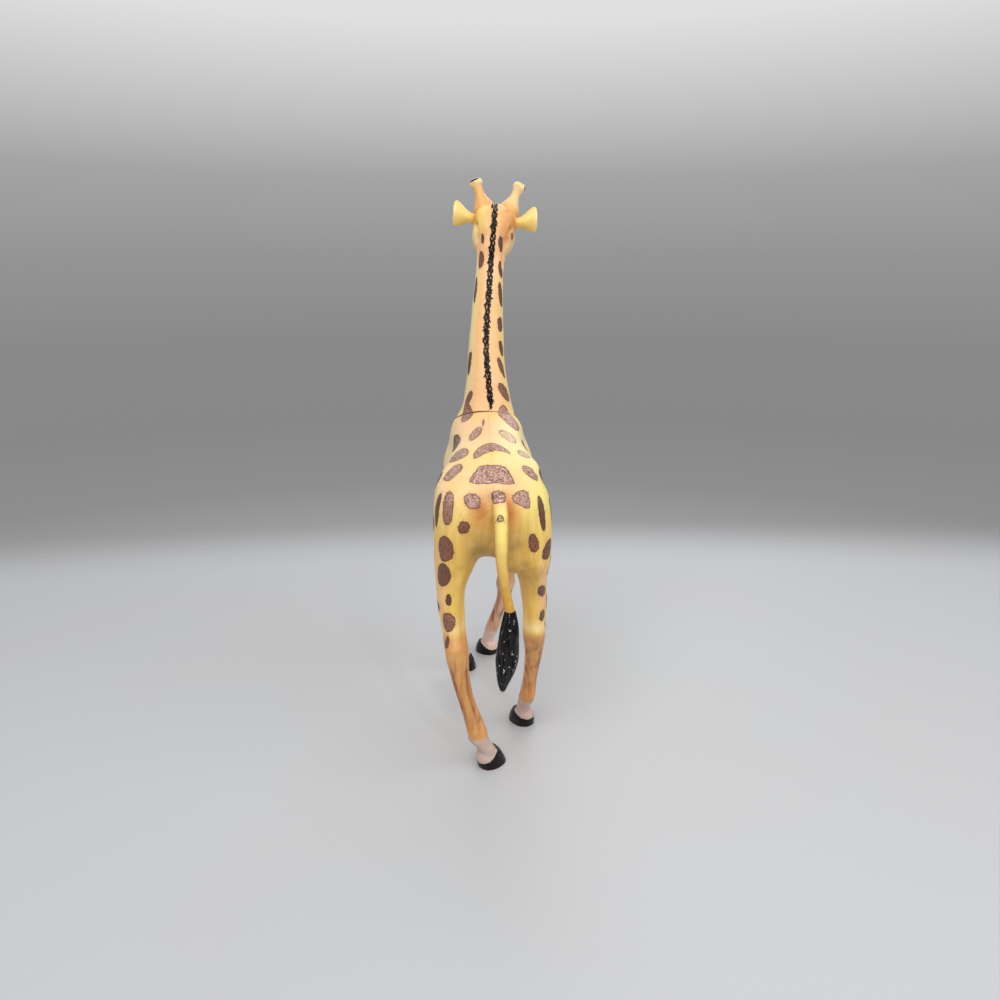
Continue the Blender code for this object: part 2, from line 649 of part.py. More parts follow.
def above_seam(lift):
    """Block of all that lies above the seam plane, which is moved by lift along its axis."""
    place = Matrix.Translation(SEAM_CENTRE) @ UP.rotation_difference(SEAM_AXIS).to_matrix().to_4x4()
    reach = TRUNK_LENGTH
    return block(Vector((-reach, -reach, lift)), Vector((reach, reach, lift + reach)), place)


def pin_place(share):
    """Centre of a locating pin on the parting plane."""
    along, rise = share
    return Vector((0.0, TRUNK_REAR + TRUNK_LENGTH * along, TRUNK_BASE + TRUNK_DEPTH * rise))


def build_trunk(toy, tail_hole):
    """The hollow trunk in two halves, with sockets for legs, swivel and tail."""
    form = toy.cutter("trunk_form", trunk_body())
    combine(form, "UNION", *[toy.cutter(limb.name + "_muscle", limb.stub_body()) for limb in LIMBS])
    combine(form, "DIFFERENCE", toy.cutter("trunk_above_seam", above_seam(-SEAM_GAP / 2)))
    hollow = toy.cutter("trunk_hollow", trunk_body(WALL))
    combine(hollow, "DIFFERENCE", toy.cutter("trunk_deck", above_seam(-SEAM_GAP / 2 - DECK)))
    stem_reach = SEAM_AXIS * (DECK * 2)
    stem_hole = toy.cutter("trunk_stem_hole", cylinder(STEM_RADIUS + GAP, SEAM_CENTRE - stem_reach,
                                                       SEAM_CENTRE + stem_reach, ROUND_SIDES))
    sockets = [toy.cutter(limb.name + "_socket", limb.plug_body(GAP)) for limb in LIMBS]
    for name, side in (("torso_left_shell", -1), ("torso_right_shell", 1)):
        shell = toy.part(name, half_space(side), "skin", SEAM_CENTRE)
        combine(shell, "INTERSECT", form)
        combine(shell, "DIFFERENCE", hollow, stem_hole, tail_hole)
        combine(shell, "DIFFERENCE", *[socket for socket, limb in zip(sockets, LIMBS)
                                       if limb.side == side])
        for index, share in enumerate(PIN_SHARES):
            label = "_".join((name, "boss", str(index + 1)))
            middle = pin_place(share)
            along, rise = share
            lower = rise - BOSS_RADIUS / TRUNK_DEPTH
            outer = RIGHT * side * (min(trunk_side(along, rise), trunk_side(along, lower)) - WALL / 2)
            boss = toy.cutter(label, cylinder(BOSS_RADIUS, middle + RIGHT * side * GAP / 2,
                                              middle + outer, HOOF_SIDES))
            combine(shell, "UNION", boss)
            if side < 0:
                pin = cylinder(PIN_RADIUS, middle - RIGHT * OVERRUN, middle + RIGHT * PIN_LENGTH,
                               HOOF_SIDES)
                combine(shell, "UNION", toy.cutter(label + "_pin", pin))
            else:
                socket = cylinder(PIN_RADIUS + GAP, middle - RIGHT * OVERRUN,
                                  middle + RIGHT * (PIN_LENGTH + GAP), HOOF_SIDES)
                combine(shell, "DIFFERENCE", toy.cutter(label + "_socket", socket))


def neck_ring(share, inset=0.0):
    """Centre, half width vector and half depth vector of the neck at a share of its rise."""
    sway, lean, width, depth, tilt = value_at(NECK_SHARES, share)
    centre = SEAM_CENTRE + Vector((NECK_SWAY * sway, NECK_LEAN * lean, NECK_RISE * share))
    angle = SEAM_TILT * tilt
    across = RIGHT * (NECK_BASE_HALF_WIDTH * width - inset)
    along = Vector((0.0, math.cos(angle), -math.sin(angle))) * (NECK_BASE_HALF_DEPTH * depth - inset)
    return centre, across, along


def neck_body(start, end, inset=0.0):
    """The neck's shape between two shares of its rise, or its hollow."""
    rings = []
    for share in even(NECK_STEPS, start, end):
        centre, across, along = neck_ring(share, inset)
        rings.append(ring(centre, across, along, ROUND_POWER, NECK_SIDES))
    return loft(rings)


def neck_side_block(side):
    """Block beside the neck's own middle surface, which sways with the neck."""
    rings = []
    reach = NECK_BASE_HALF_DEPTH * 2
    for share in even(NECK_STEPS, -0.1, 1.1):
        centre, _, along = neck_ring(min(max(share, 0.0), 1.0))
        centre = centre + UP * NECK_RISE * (share - min(max(share, 0.0), 1.0))
        forward = along.normalized() * reach
        near = centre + RIGHT * side * GAP / 2
        far = near + RIGHT * side * reach
        rings.append([near - forward, near + forward, far + forward, far - forward])
    return loft(rings)


def build_neck(toy):
    """The neck's two hollow halves and the swivel that joins them to the trunk."""
    lift = SEAM_AXIS * SEAM_GAP / 2
    outer = neck_body(0.0, 1.0)
    bmesh.ops.translate(outer, vec=lift, verts=outer.verts)
    form = toy.cutter("neck_form", outer)
    hollow = toy.cutter("neck_hollow", neck_body(DECK / NECK_RISE, 1.0 - NECK_LID / NECK_RISE, WALL))
    combine(form, "DIFFERENCE", hollow)
    reach = SEAM_AXIS * DECK * 2
    stem_hole = toy.cutter("neck_stem_hole", cylinder(STEM_RADIUS + GAP, SEAM_CENTRE - reach,
                                                      SEAM_CENTRE + reach, ROUND_SIDES))
    plug_hole = toy.cutter("nape_plug_socket", nape_plug(GAP))
    halves = []
    for name, side in (("neck_left_shell", -1), ("neck_right_shell", 1)):
        half = toy.part(name, neck_side_block(side), "skin", SEAM_CENTRE)
        combine(half, "INTERSECT", form)
        combine(half, "DIFFERENCE", stem_hole, plug_hole)
        halves.append(half)
    low = SEAM_GAP / 2 + DECK + GAP
    profile = [(FLANGE_RADIUS, -low - FLANGE), (FLANGE_RADIUS, -low), (STEM_RADIUS, -low),
               (STEM_RADIUS, low), (FLANGE_RADIUS, low), (FLANGE_RADIUS, low + FLANGE)]
    halves.append(toy.part("neck_swivel", turned(profile, SEAM_CENTRE, SEAM_AXIS), "inner", SEAM_CENTRE))
    return form, halves


def nape_plug(clearance=0.0):
    """The head's plug in the neck's lid, or its socket."""
    centre, across, along = neck_ring(1.0)
    up = across.cross(along).normalized()
    return cylinder(NAPE_PLUG_RADIUS + clearance, centre - up * (NAPE_PLUG_LENGTH + clearance),
                    centre + up * NAPE_PLUG_LENGTH)


def head_point(forward, side, rise):
    """World place of a point of the head, given from the back of the skull."""
    return HEAD_BACK + HEAD_TURN @ Vector((side, forward, rise))


def head_body():
    """Skull, cheeks and muzzle."""
    rings = []
    for share in spaced(HEAD_STEPS):
        rise, width, depth = value_at(HEAD_SHARES, share)
        centre = head_point(HEAD_LENGTH * share, 0.0, HEAD_HALF_DEPTH * rise)
        rings.append(ring(centre, HEAD_TURN @ RIGHT * HEAD_HALF_WIDTH * width,
                          HEAD_TURN @ UP * HEAD_HALF_DEPTH * depth, ROUND_POWER, HEAD_SIDES))
    return loft(rings)


def nape_body(clearance):
    """The root of the head, from its seat on the neck up into the skull."""
    centre, across, along = neck_ring(1.0)
    lift = across.cross(along).normalized()
    rings = []
    for share in even(STUB_STEPS):
        sway, lean, width, depth = value_at(NAPE_SHARES, share)
        middle = centre + lift * clearance + Vector((NAPE_SWAY * sway, NAPE_LEAN * lean,
                                                     NAPE_RISE * share))
        rings.append(ring(middle, across * width, along * depth, ROUND_POWER, HEAD_SIDES))
    return loft(rings)


def horn_body(side, clearance=0.0):
    """One horn, set in its socket, or the socket itself."""
    lean = (LEFT_HORN_LEAN if side < 0 else RIGHT_HORN_LEAN).normalized()
    base = head_point(HORN_FORWARD, side * HORN_SPREAD, HORN_RISE)
    if clearance:
        return cylinder(HORN_RADIUS + clearance, base - lean * clearance, base + lean * HORN_SOCKET * 3)
    profile = [(HORN_RADIUS * radius, HORN_LENGTH * height) for height, radius in HORN_SHARES]
    return turned(profile, base, lean, HORN_SIDES)


def ear_body(side, clearance=0.0):
    """One ear paddle with its root in the head, or the slot for that root."""
    lean = (LEFT_EAR_LEAN if side < 0 else RIGHT_EAR_LEAN).normalized()
    root = head_point(EAR_FORWARD, side * EAR_SPREAD, EAR_RISE)
    thick = lean.cross(UP).normalized()
    tall = thick.cross(lean).normalized()
    rings = []
    for share in spaced(EAR_STEPS):
        height, thickness, rise = value_at(EAR_SHARES, share)
        start = -clearance if share == 0.0 else 0.0
        centre = root + lean * (EAR_LENGTH * share + start) + tall * EAR_HALF_HEIGHT * rise
        rings.append(ring(centre, thick * (EAR_HALF_THICKNESS * thickness + clearance),
                          tall * (EAR_HALF_HEIGHT * height + clearance), ROUND_POWER, EAR_SIDES))
    return loft(rings)


def eye_body(side, clearance=0.0):
    """One eye bead, or its socket."""
    body = bmesh.new()
    place = head_point(EYE_FORWARD, side * EYE_SPREAD, EYE_RISE)
    bmesh.ops.create_uvsphere(body, u_segments=10, v_segments=6, radius=EYE_RADIUS + clearance,
                              matrix=Matrix.Translation(place))
    return body


def build_head(toy):
    """Head, horns, ears and eyes."""
    head = toy.part("head", head_body(), "skin", HEAD_BACK)
    combine(head, "UNION", toy.cutter("nape", nape_body(GAP + SEAM_GAP / 2)),
            toy.cutter("nape_plug", nape_plug()))
    pieces = [head]
    for name, side in (("left", -1), ("right", 1)):
        combine(head, "DIFFERENCE", toy.cutter(name + "_horn_socket", horn_body(side, GAP)),
                toy.cutter(name + "_ear_slot", ear_body(side, GAP)),
                toy.cutter(name + "_eye_socket", eye_body(side, GAP)))
        spread = side * HORN_SPREAD
        pieces.append(toy.part(name + "_horn", horn_body(side), "skin",
                               head_point(HORN_FORWARD, spread, HORN_RISE)))
        pieces.append(toy.part(name + "_ear", ear_body(side), "skin",
                               head_point(EAR_FORWARD, side * EAR_SPREAD, EAR_RISE)))
        pieces.append(toy.part(name + "_eye", eye_body(side), "black",
                               head_point(EYE_FORWARD, side * EYE_SPREAD, EYE_RISE)))
    return head, pieces


def surface_tree(item):
    """Search tree of an object's evaluated surface, in world space."""
    bpy.context.view_layer.update()
    graph = bpy.context.evaluated_depsgraph_get()
    shape = bmesh.new()
    shape.from_mesh(bpy.data.meshes.new_from_object(item.evaluated_get(graph)))
    bmesh.ops.transform(shape, matrix=item.matrix_world, verts=shape.verts)
    return BVHTree.FromBMesh(shape)


def mane_centre(height):
    """Sideways place of the mane, which follows the neck and then the head."""
    neck_top = SEAM_HEIGHT + NECK_RISE
    if height <= neck_top:
        drift = MANE_DRIFT * ((neck_top - height) / (neck_top - MANE_LOW)) ** 3
        return neck_ring((height - SEAM_HEIGHT) / NECK_RISE)[0].x + drift
    rise = (height - neck_top) / (MANE_TOP - neck_top)
    return SEAM_CENTRE.x + NECK_SWAY + (HEAD_BACK.x + math.tan(HEAD_ROLL) * (MANE_TOP - HEAD_BACK.z)
                                        - NECK_SWAY) * rise


def mane_route(toy, neck_form, head):
    """Points up the back of the neck and head, where the mane lies."""
    nape = toy.cutter("nape_guide", nape_body(0.0))
    trees = [surface_tree(guide) for guide in (neck_form, nape, head)]
    points = []
    for share in even(MANE_STEPS):
        height = MANE_LOW + (MANE_TOP - MANE_LOW) * share
        start = Vector((mane_centre(height), TRUNK_REAR, height))
        hits = [tree.ray_cast(start, FRONT)[0] for tree in trees]
        hits = [hit for hit in hits if hit is not None]
        if hits:
            points.append(min(hits, key=lambda hit: hit.y))
    return points


def mane_body(points, clearance=0.0):
    """The mane, a strip set a little into the neck and head, or the groove for it."""
    rings = []
    last = len(points) - 1
    for i, point in enumerate(points):
        run = (points[min(i + 1, last)] - points[max(i - 1, 0)]).normalized()
        out = RIGHT.cross(run).normalized()
        across = RIGHT * (MANE_WIDTH / 2 + clearance)
        end = {0: -clearance, last: clearance}.get(i, 0.0)
        low = point + run * end - out * (MANE_SEAT + clearance)
        high = point + run * end + out * MANE_HEIGHT
        crest = across * MANE_CREST_SHARE
        rings.append([low - across, low + across, high + crest, high - crest])
    return loft(rings)


def build_mane(toy, neck_form, halves, head):
    """The mane and its groove."""
    points = mane_route(toy, neck_form, head)
    groove = toy.cutter("mane_groove", mane_body(points, GAP))
    for piece in (*halves, head):
        combine(piece, "DIFFERENCE", groove)
    return toy.part("mane", mane_body(points), "black", points[0])


def main():
    """Build every piece and hang the moving ones on the neck's axis."""
    clear_scene()
    toy = Toy()
    build_legs(toy)
    tail_hole = build_tail(toy)
    build_trunk(toy, tail_hole)
    neck_form, turning = build_neck(toy)
    head, head_pieces = build_head(toy)
    turning += head_pieces
    turning.append(build_mane(toy, neck_form, turning[:2], head))
    axis = bpy.data.objects.new("neck_axis", None)
    axis.location = SEAM_CENTRE
    toy.parts.objects.link(axis)
    for piece in turning:
        piece.parent = axis
        piece.location = piece.location - SEAM_CENTRE


main()
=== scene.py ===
"""A walking giraffe toy in airbrushed soft plastic, seen from behind and a little above.

The fleshy forms are fused from sections, relaxed, carved and cut where the real pieces meet. Lengths
are in millimetres until a mesh is made from them.
"""
import logging
import math
import random
from dataclasses import dataclass
from enum import Enum
from typing import Callable

import bmesh
import bpy
import numpy as np
from mathutils import Matrix, Vector
from mathutils.bvhtree import BVHTree


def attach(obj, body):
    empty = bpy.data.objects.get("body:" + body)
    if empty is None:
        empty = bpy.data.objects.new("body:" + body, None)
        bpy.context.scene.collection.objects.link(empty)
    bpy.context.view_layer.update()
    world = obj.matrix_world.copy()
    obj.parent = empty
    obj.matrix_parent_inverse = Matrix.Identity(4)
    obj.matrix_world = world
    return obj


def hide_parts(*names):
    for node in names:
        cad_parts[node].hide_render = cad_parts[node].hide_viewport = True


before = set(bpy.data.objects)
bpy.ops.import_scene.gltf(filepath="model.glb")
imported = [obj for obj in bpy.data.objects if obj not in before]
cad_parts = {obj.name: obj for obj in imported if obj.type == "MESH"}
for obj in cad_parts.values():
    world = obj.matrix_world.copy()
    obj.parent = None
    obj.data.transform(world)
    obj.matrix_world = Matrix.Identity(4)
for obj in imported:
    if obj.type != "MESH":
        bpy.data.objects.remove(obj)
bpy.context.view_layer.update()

Array = np.ndarray
Rows = tuple[tuple[float, ...], ...]
Triple = tuple[float, float, float]
Fields = dict[str, Array]
Faces = list[tuple[int, ...]]
Feeds = dict[str | int, object]
Takes = tuple[tuple[str, str, object], ...]
Body = bmesh.types.BMesh
Mesh = bpy.types.Mesh
Material = bpy.types.Material
Node = bpy.types.Node
Tree = bpy.types.NodeTree
Socket = bpy.types.NodeSocket

LOG = logging.getLogger("giraffe")
MM = 0.001
X, Y, Z = np.eye(3)
FAR = 99.0  # distance to an outline that faces away
CLEAR = 9.0  # distance to an outline where no spot is near
NORMAL_FIELDS = ("nx", "ny", "nz")
TINT_FIELDS = ("red", "green", "blue")

# Trunk sections from rump to chest: place along it, top, bottom, half width
TRUNK_SHARES: Rows = (
    (0, 0.49, 0.36, 0.14), (0.015, 0.565, 0.29, 0.42), (0.03, 0.60, 0.245, 0.57),
    (0.077, 0.668, 0.19, 0.80), (0.148, 0.745, 0.16, 0.945), (0.243, 0.798, 0.136, 1),
    (0.361, 0.845, 0.10, 0.985), (0.509, 0.909, 0.055, 0.955), (0.645, 0.98, 0.018, 0.94),
    (0.746, 1, 0, 0.915), (0.834, 0.93, 0.009, 0.83), (0.905, 0.82, 0.055, 0.69),
    (0.964, 0.675, 0.145, 0.49), (1, 0.51, 0.27, 0.24),
)

# Leg forms: height as a share of the seat height, then width and depth
HIND_FORM: Rows = (
    (0, 0.42, 0.30), (0.07, 0.43, 0.31), (0.14, 0.46, 0.33), (0.20, 0.53, 0.38), (0.29, 0.465, 0.33),
    (0.37, 0.43, 0.31), (0.44, 0.44, 0.32), (0.52, 0.49, 0.37), (0.61, 0.60, 0.48),
    (0.68, 0.57, 0.46), (0.75, 0.60, 0.52), (0.82, 0.62, 0.61), (0.895, 0.69, 0.76), (1, 1, 1),
)
FORE_FORM: Rows = (
    (0, 0.46, 0.40), (0.08, 0.47, 0.41), (0.155, 0.45, 0.39), (0.22, 0.55, 0.47), (0.32, 0.50, 0.42),
    (0.40, 0.50, 0.42), (0.50, 0.59, 0.48), (0.57, 0.71, 0.575), (0.66, 0.64, 0.54),
    (0.77, 0.69, 0.62), (0.88, 0.80, 0.77), (1, 1, 1),
)

# Leg paths: height share, side as a share of the spread, forward as a share of the swing
HIND_LEFT_PATH: Rows = (
    (0, 0.07, -0.80), (0.07, 0.18, -0.84), (0.14, 0.40, -0.90), (0.20, 0.49, -0.88),
    (0.29, 0.63, -0.91), (0.37, 0.76, -0.93), (0.46, 0.87, -0.93), (0.54, 0.94, -0.90),
    (0.62, 0.99, -0.82), (0.75, 1.08, -0.52), (0.82, 1.12, -0.37), (0.895, 1.11, -0.20), (1, 1, 0),
)
HIND_RIGHT_PATH: Rows = (
    (0, 0.89, 0.83), (0.07, 0.91, 0.73), (0.14, 0.97, 0.61), (0.20, 1.03, 0.48), (0.28, 1.07, 0.37),
    (0.40, 1.11, 0.13), (0.50, 1.14, -0.02), (0.60, 1.13, -0.14), (0.68, 1.13, -0.13),
    (0.76, 1.14, -0.05), (0.86, 1.10, 0.05), (1, 1, 0),
)
FORE_LEFT_PATH: Rows = (
    (0, 1.02, 0.07), (0.08, 1.09, 0.03), (0.155, 1.20, -0.04), (0.22, 1.33, -0.09),
    (0.35, 1.48, -0.09), (0.55, 1.53, 0), (0.66, 1.38, 0.01), (0.80, 1.19, 0.01), (1, 1, 0),
)
FORE_RIGHT_PATH: Rows = (
    (0, 0, 1), (0.08, 0.05, 0.93), (0.155, 0.18, 0.87), (0.22, 0.33, 0.80), (0.28, 0.43, 0.70),
    (0.40, 0.69, 0.57), (0.47, 0.84, 0.50), (0.57, 0.92, 0.46), (0.74, 0.97, 0.33),
    (0.88, 0.98, 0.17), (1, 1, 0),
)

# Muscle of haunch and shoulder above the seats: rise, side, forward, width, depth
HAUNCH: Rows = (
    (0, 1, 0, 1, 1), (0.16, 0.95, 0.06, 1.10, 1.08), (0.32, 0.88, 0.12, 1.235, 1.12),
    (0.50, 0.79, 0.17, 1.36, 1.12), (0.69, 0.70, 0.21, 1.35, 1.04), (0.86, 0.58, 0.25, 1.19, 0.88),
    (1, 0.44, 0.29, 0.84, 0.62),
)
SHOULDER: Rows = (
    (0, 1, 0, 1, 1), (0.13, 0.96, -0.03, 1.12, 1.12), (0.29, 0.90, -0.10, 1.24, 1.24),
    (0.47, 0.82, -0.20, 1.32, 1.32), (0.66, 0.74, -0.32, 1.36, 1.29), (0.84, 0.63, -0.44, 1.24, 1.12),
    (1, 0.47, -0.55, 0.96, 0.82),
)

# Hoof sections: height, width, length, and how far the section is set forward
HOOF_FORM: Rows = (
    (0, 1, 1, 0), (0.35, 0.99, 0.98, -0.01), (0.75, 0.91, 0.92, -0.04), (1, 0.79, 0.80, -0.08),
)

# Neck sections: rise, sway to the right, lean forward, width, depth, tilt of the section
NECK_SHARES: Rows = (
    (0, 0, 0, 1, 1, 1), (0.05, 0.03, -0.01, 0.90, 0.93, 1),
    (0.12, 0.06, -0.02, 0.80, 0.84, 0.96), (0.23, 0, -0.02, 0.70, 0.73, 0.88),
    (0.33, -0.05, 0.06, 0.633, 0.66, 0.80), (0.43, -0.05, 0.19, 0.592, 0.615, 0.72),
    (0.53, 0.07, 0.32, 0.568, 0.583, 0.68), (0.63, 0.21, 0.455, 0.53, 0.554, 0.68),
    (0.73, 0.36, 0.593, 0.507, 0.53, 0.68), (0.83, 0.58, 0.74, 0.478, 0.507, 0.68),
    (0.92, 0.79, 0.89, 0.457, 0.493, 0.68), (1, 1, 1, 0.457, 0.50, 0.68),
)

# Nape, from the neck's top ring up into the skull: rise, sway, lean, width, depth of that ring
NAPE_SHARES: Rows = (
    (0, 0, 0, 1, 1), (0.25, 0.2, 0.15, 1.02, 1.08), (0.6, 0.6, 0.5, 1.04, 1.12),
    (1, 1, 1, 0.96, 0.95),
)

# Head sections from the back of the skull to the muzzle: place, rise, half width, half depth
HEAD_SHARES: Rows = (
    (0, 0.05, 0.42, 0.40), (0.06, 0.025, 0.71, 0.675), (0.15, 0, 0.92, 0.90),
    (0.27, -0.025, 1, 1), (0.38, -0.025, 0.96, 0.925), (0.50, -0.05, 0.765, 0.725),
    (0.62, -0.10, 0.60, 0.575), (0.75, -0.125, 0.53, 0.50), (0.87, -0.125, 0.56, 0.49),
    (0.95, -0.125, 0.48, 0.40), (1, -0.125, 0.26, 0.225),
)

# Horn profile: height along it and radius
HORN_PROFILE: Rows = (
    (0, 1), (0.16, 1), (0.30, 0.93), (0.55, 0.76), (0.74, 0.76), (0.84, 0.93), (0.92, 1),
    (0.97, 0.86), (1, 0.5),
)

# Bumps round the horn's knob: angle and height
HORN_BUMPS: Rows = ((0.3, 0.0), (1.9, 1.0), (3.2, -0.5), (4.4, 0.6), (5.5, -0.8))

# Ear sections from the root outwards: place, half height, thickness, rise
EAR_FORM: Rows = (
    (0, 0.34, 1, -0.02), (0.30, 0.40, 1.1, -0.02), (0.50, 0.58, 1.1, 0.03), (0.70, 0.85, 1, 0.10),
    (0.86, 1, 0.9, 0.14), (0.95, 0.86, 0.75, 0.20), (1, 0.52, 0.5, 0.26),
)

# Tail path: share of its run, drop, reach to the rear, sway to the right, radius
TAIL_SHARES: Rows = (
    (0, 0, 0, 0.20, 1.18), (0.05, 0, 0.11, 0.22, 1.10), (0.10, -0.005, 0.22, 0.28, 0.93),
    (0.17, 0, 0.36, 0.34, 0.97), (0.25, 0.045, 0.50, 0.40, 0.98), (0.35, 0.14, 0.64, 0.45, 0.91),
    (0.46, 0.27, 0.74, 0.44, 0.85), (0.57, 0.40, 0.82, 0.44, 0.81), (0.68, 0.54, 0.87, 0.45, 0.72),
    (0.79, 0.67, 0.92, 0.57, 0.68), (0.90, 0.81, 0.95, 0.73, 0.62), (1, 1, 1, 1, 0.62),
)

# Tuft sections: place along it, half width, sway to the left as a share of the half width
TUFT_SHARES: Rows = (
    (0, 0.50, 0), (0.16, 0.72, 0.04), (0.35, 0.91, 0.14), (0.54, 1, 0.24), (0.73, 0.78, 0.38),
    (0.88, 0.46, 0.62), (0.97, 0.24, 0.68), (1, 0.10, 0.69),
)


def read_rows(rows: Rows, places: Array | float) -> Array:
    """Values of a table at given places, from a smooth curve through its rows.

    Args:
        rows: the table; the first column is the place.
        places: one place or several.

    Returns:
        One row of values for each place.
    """
    table = np.array(rows, float)
    stops, values = table[:, 0], table[:, 1:]
    places = np.atleast_1d(np.asarray(places, float))
    last = len(stops) - 1
    before = np.maximum(np.arange(last + 1) - 1, 0)
    after = np.minimum(np.arange(last + 1) + 1, last)
    slopes = (values[after] - values[before]) / (stops[after] - stops[before])[:, None]
    low = np.clip(np.searchsorted(stops, places, side="right") - 1, 0, last - 1)
    span = (stops[low + 1] - stops[low])[:, None]
    t = (places[:, None] - stops[low][:, None]) / span
    return ((2 * t ** 3 - 3 * t ** 2 + 1) * values[low] + (t ** 3 - 2 * t ** 2 + t) * slopes[low] * span
            + (3 * t ** 2 - 2 * t ** 3) * values[low + 1] + (t ** 3 - t ** 2) * slopes[low + 1] * span)


def ease(value: Array | float, start: float, end: float) -> Array:
    """Smooth step from 0 at start to 1 at end; start may be the larger one."""
    t = np.clip((np.asarray(value, float) - start) / (end - start), 0.0, 1.0)
    return t * t * (3 - 2 * t)


def unit(vector: Array | Triple) -> Array:
    """The vector at length one."""
    vector = np.asarray(vector, float)
    return vector / np.linalg.norm(vector)


def spaced(count: int) -> Array:
    """Shares from 0 to 1, closer together at both ends."""
    return 0.5 - 0.5 * np.cos(np.pi * np.arange(count + 1) / count)


def section(centre: Array, side: Array, depth: Array, power: float, count: int) -> Array:
    """Points of a rounded section.

    Args:
        centre: middle of the section.
        side: half axis across it.
        depth: half axis along it.
        power: 2 for an ellipse, more for a squarer form.
        count: number of points.

    Returns:
        The points, one row each.
    """
    angles = np.arange(count) * math.tau / count
    across, along = np.cos(angles), np.sin(angles)
    across = np.sign(across) * np.abs(across) ** (2 / power)
    along = np.sign(along) * np.abs(along) ** (2 / power)
    return centre + np.outer(across, side) + np.outer(along, depth)


def pull(items: object, name: str, width: int = 1, kind: type = float) -> Array:
    """One property of every item of a collection, in rows of the given width."""
    values = np.empty(len(items) * width, kind)
    items.foreach_get(name, values)
    return values if width == 1 else values.reshape(-1, width)


def plain_mesh(points: Array, faces: Faces, name: str = "shape") -> Mesh:
    """Mesh with these points and faces."""
    mesh = bpy.data.meshes.new(name)
    mesh.from_pydata(np.asarray(points).tolist(), [], faces)
    return mesh


def placed(name: str, data: bpy.types.ID) -> bpy.types.Object:
    """Object with this data, in the scene."""
    item = bpy.data.objects.new(name, data)
    bpy.context.scene.collection.objects.link(item)
    return item


def settled(item: bpy.types.Object) -> Mesh:
    """Plain mesh of an object with its modifiers run; the object is removed."""
    bpy.context.view_layer.update()
    mesh = bpy.data.meshes.new_from_object(item.evaluated_get(bpy.context.evaluated_depsgraph_get()))
    bpy.data.objects.remove(item)
    return mesh


def stacked(fields: Fields, names: tuple[str, ...]) -> Array:
    """Table with the named values as its columns."""
    return np.column_stack([fields[name] for name in names])


@dataclass
class Solid:
    """A body as points and faces."""

    points: Array
    faces: Faces


def loft(rings: list[Array]) -> Solid:
    """Closed body through rings of equally many points."""
    sides, last = len(rings[0]), len(rings) - 1
    faces = [(i * sides + j, i * sides + (j + 1) % sides, (i + 1) * sides + (j + 1) % sides,
              (i + 1) * sides + j) for i in range(last) for j in range(sides)]
    faces.append(tuple(reversed(range(sides))))
    faces.append(tuple(range(last * sides, (last + 1) * sides)))
    return Solid(np.vstack(rings), faces)


def egg(centre: Array | Triple, radii: Triple, turn: Array | None = None, steps: int = 14) -> Solid:
    """Closed ellipsoid.

    Args:
        centre: its middle.
        radii: its three half axes.
        turn: rotation matrix of those axes, or none.
        steps: number of sections.

    Returns:
        The body.
    """
    turn = np.eye(3) if turn is None else turn
    rings = []
    for share in spaced(steps):
        level = 1 - 2 * share
        width = max(math.sqrt(max(1 - level * level, 0.0)), 0.02)
        rings.append(np.asarray(centre, float) + turn @ Z * radii[2] * level
                     + section(np.zeros(3), turn @ X * radii[0] * width, turn @ Y * radii[1] * width,
                               2.0, 2 * steps))
    return loft(rings)


class Flesh:
    """A fused skin that can be relaxed and pushed in or out along its normals."""

    def __init__(self, solids: list[Solid], grain: float) -> None:
        """Fuse the solids into one skin with faces of about the grain's size."""
        points, faces, start = [], [], 0
        for solid in solids:
            points.append(solid.points)
            faces += [tuple(i + start for i in face) for face in solid.faces]
            start += len(solid.points)
        item = placed("fusing", plain_mesh(np.vstack(points) * MM, faces))
        step = item.modifiers.new("fuse", "REMESH")
        step.mode = "VOXEL"
        step.voxel_size = grain * MM
        fused = settled(item)
        self.points = pull(fused.vertices, "co", 3) / MM
        self.quads = pull(fused.loops, "vertex_index", kind=np.int64).reshape(-1, 4)
        bpy.data.meshes.remove(fused)
        pairs = np.vstack([self.quads[:, [i, (i + 1) % 4]] for i in range(4)])
        pairs.sort(axis=1)
        self.edges = np.unique(pairs, axis=0)
        self.valence = np.bincount(self.edges.ravel(), minlength=len(self.points))[:, None]

    def normals(self) -> Array:
        """Outward normal at each point."""
        a, b, c, d = (self.points[self.quads[:, i]] for i in range(4))
        flat = np.cross(c - a, d - b)
        total = np.stack([np.bincount(self.quads.ravel(), np.repeat(flat[:, k], 4), len(self.points))
                          for k in range(3)], axis=1)
        return total / np.maximum(np.linalg.norm(total, axis=1, keepdims=True), 1e-12)

    def _drift(self) -> Array:
        """From each point to the mean of its neighbours."""
        near, far = self.edges[:, 0], self.edges[:, 1]
        total = np.stack([np.bincount(near, self.points[far, k], len(self.points))
                          + np.bincount(far, self.points[near, k], len(self.points))
                          for k in range(3)], axis=1)
        return total / self.valence - self.points

    def relax(self, rounds: int, amount: Array | float = 1.0, hold: float = 1.04) -> None:
        """Smooth the skin.

        Args:
            rounds: number of passes.
            amount: weight of each point from 0 to 1.
            hold: how much of each pass's shrinkage the next one gives back; 0 lets it shrink.
        """
        amount = np.broadcast_to(np.asarray(amount, float), (len(self.points),))[:, None]
        for _ in range(rounds):
            self.points += 0.5 * amount * self._drift()
            if hold:
                self.points -= 0.5 * hold * amount * self._drift()

    def push(self, height: Array) -> None:
        """Move each point along its normal."""
        self.points += self.normals() * height[:, None]


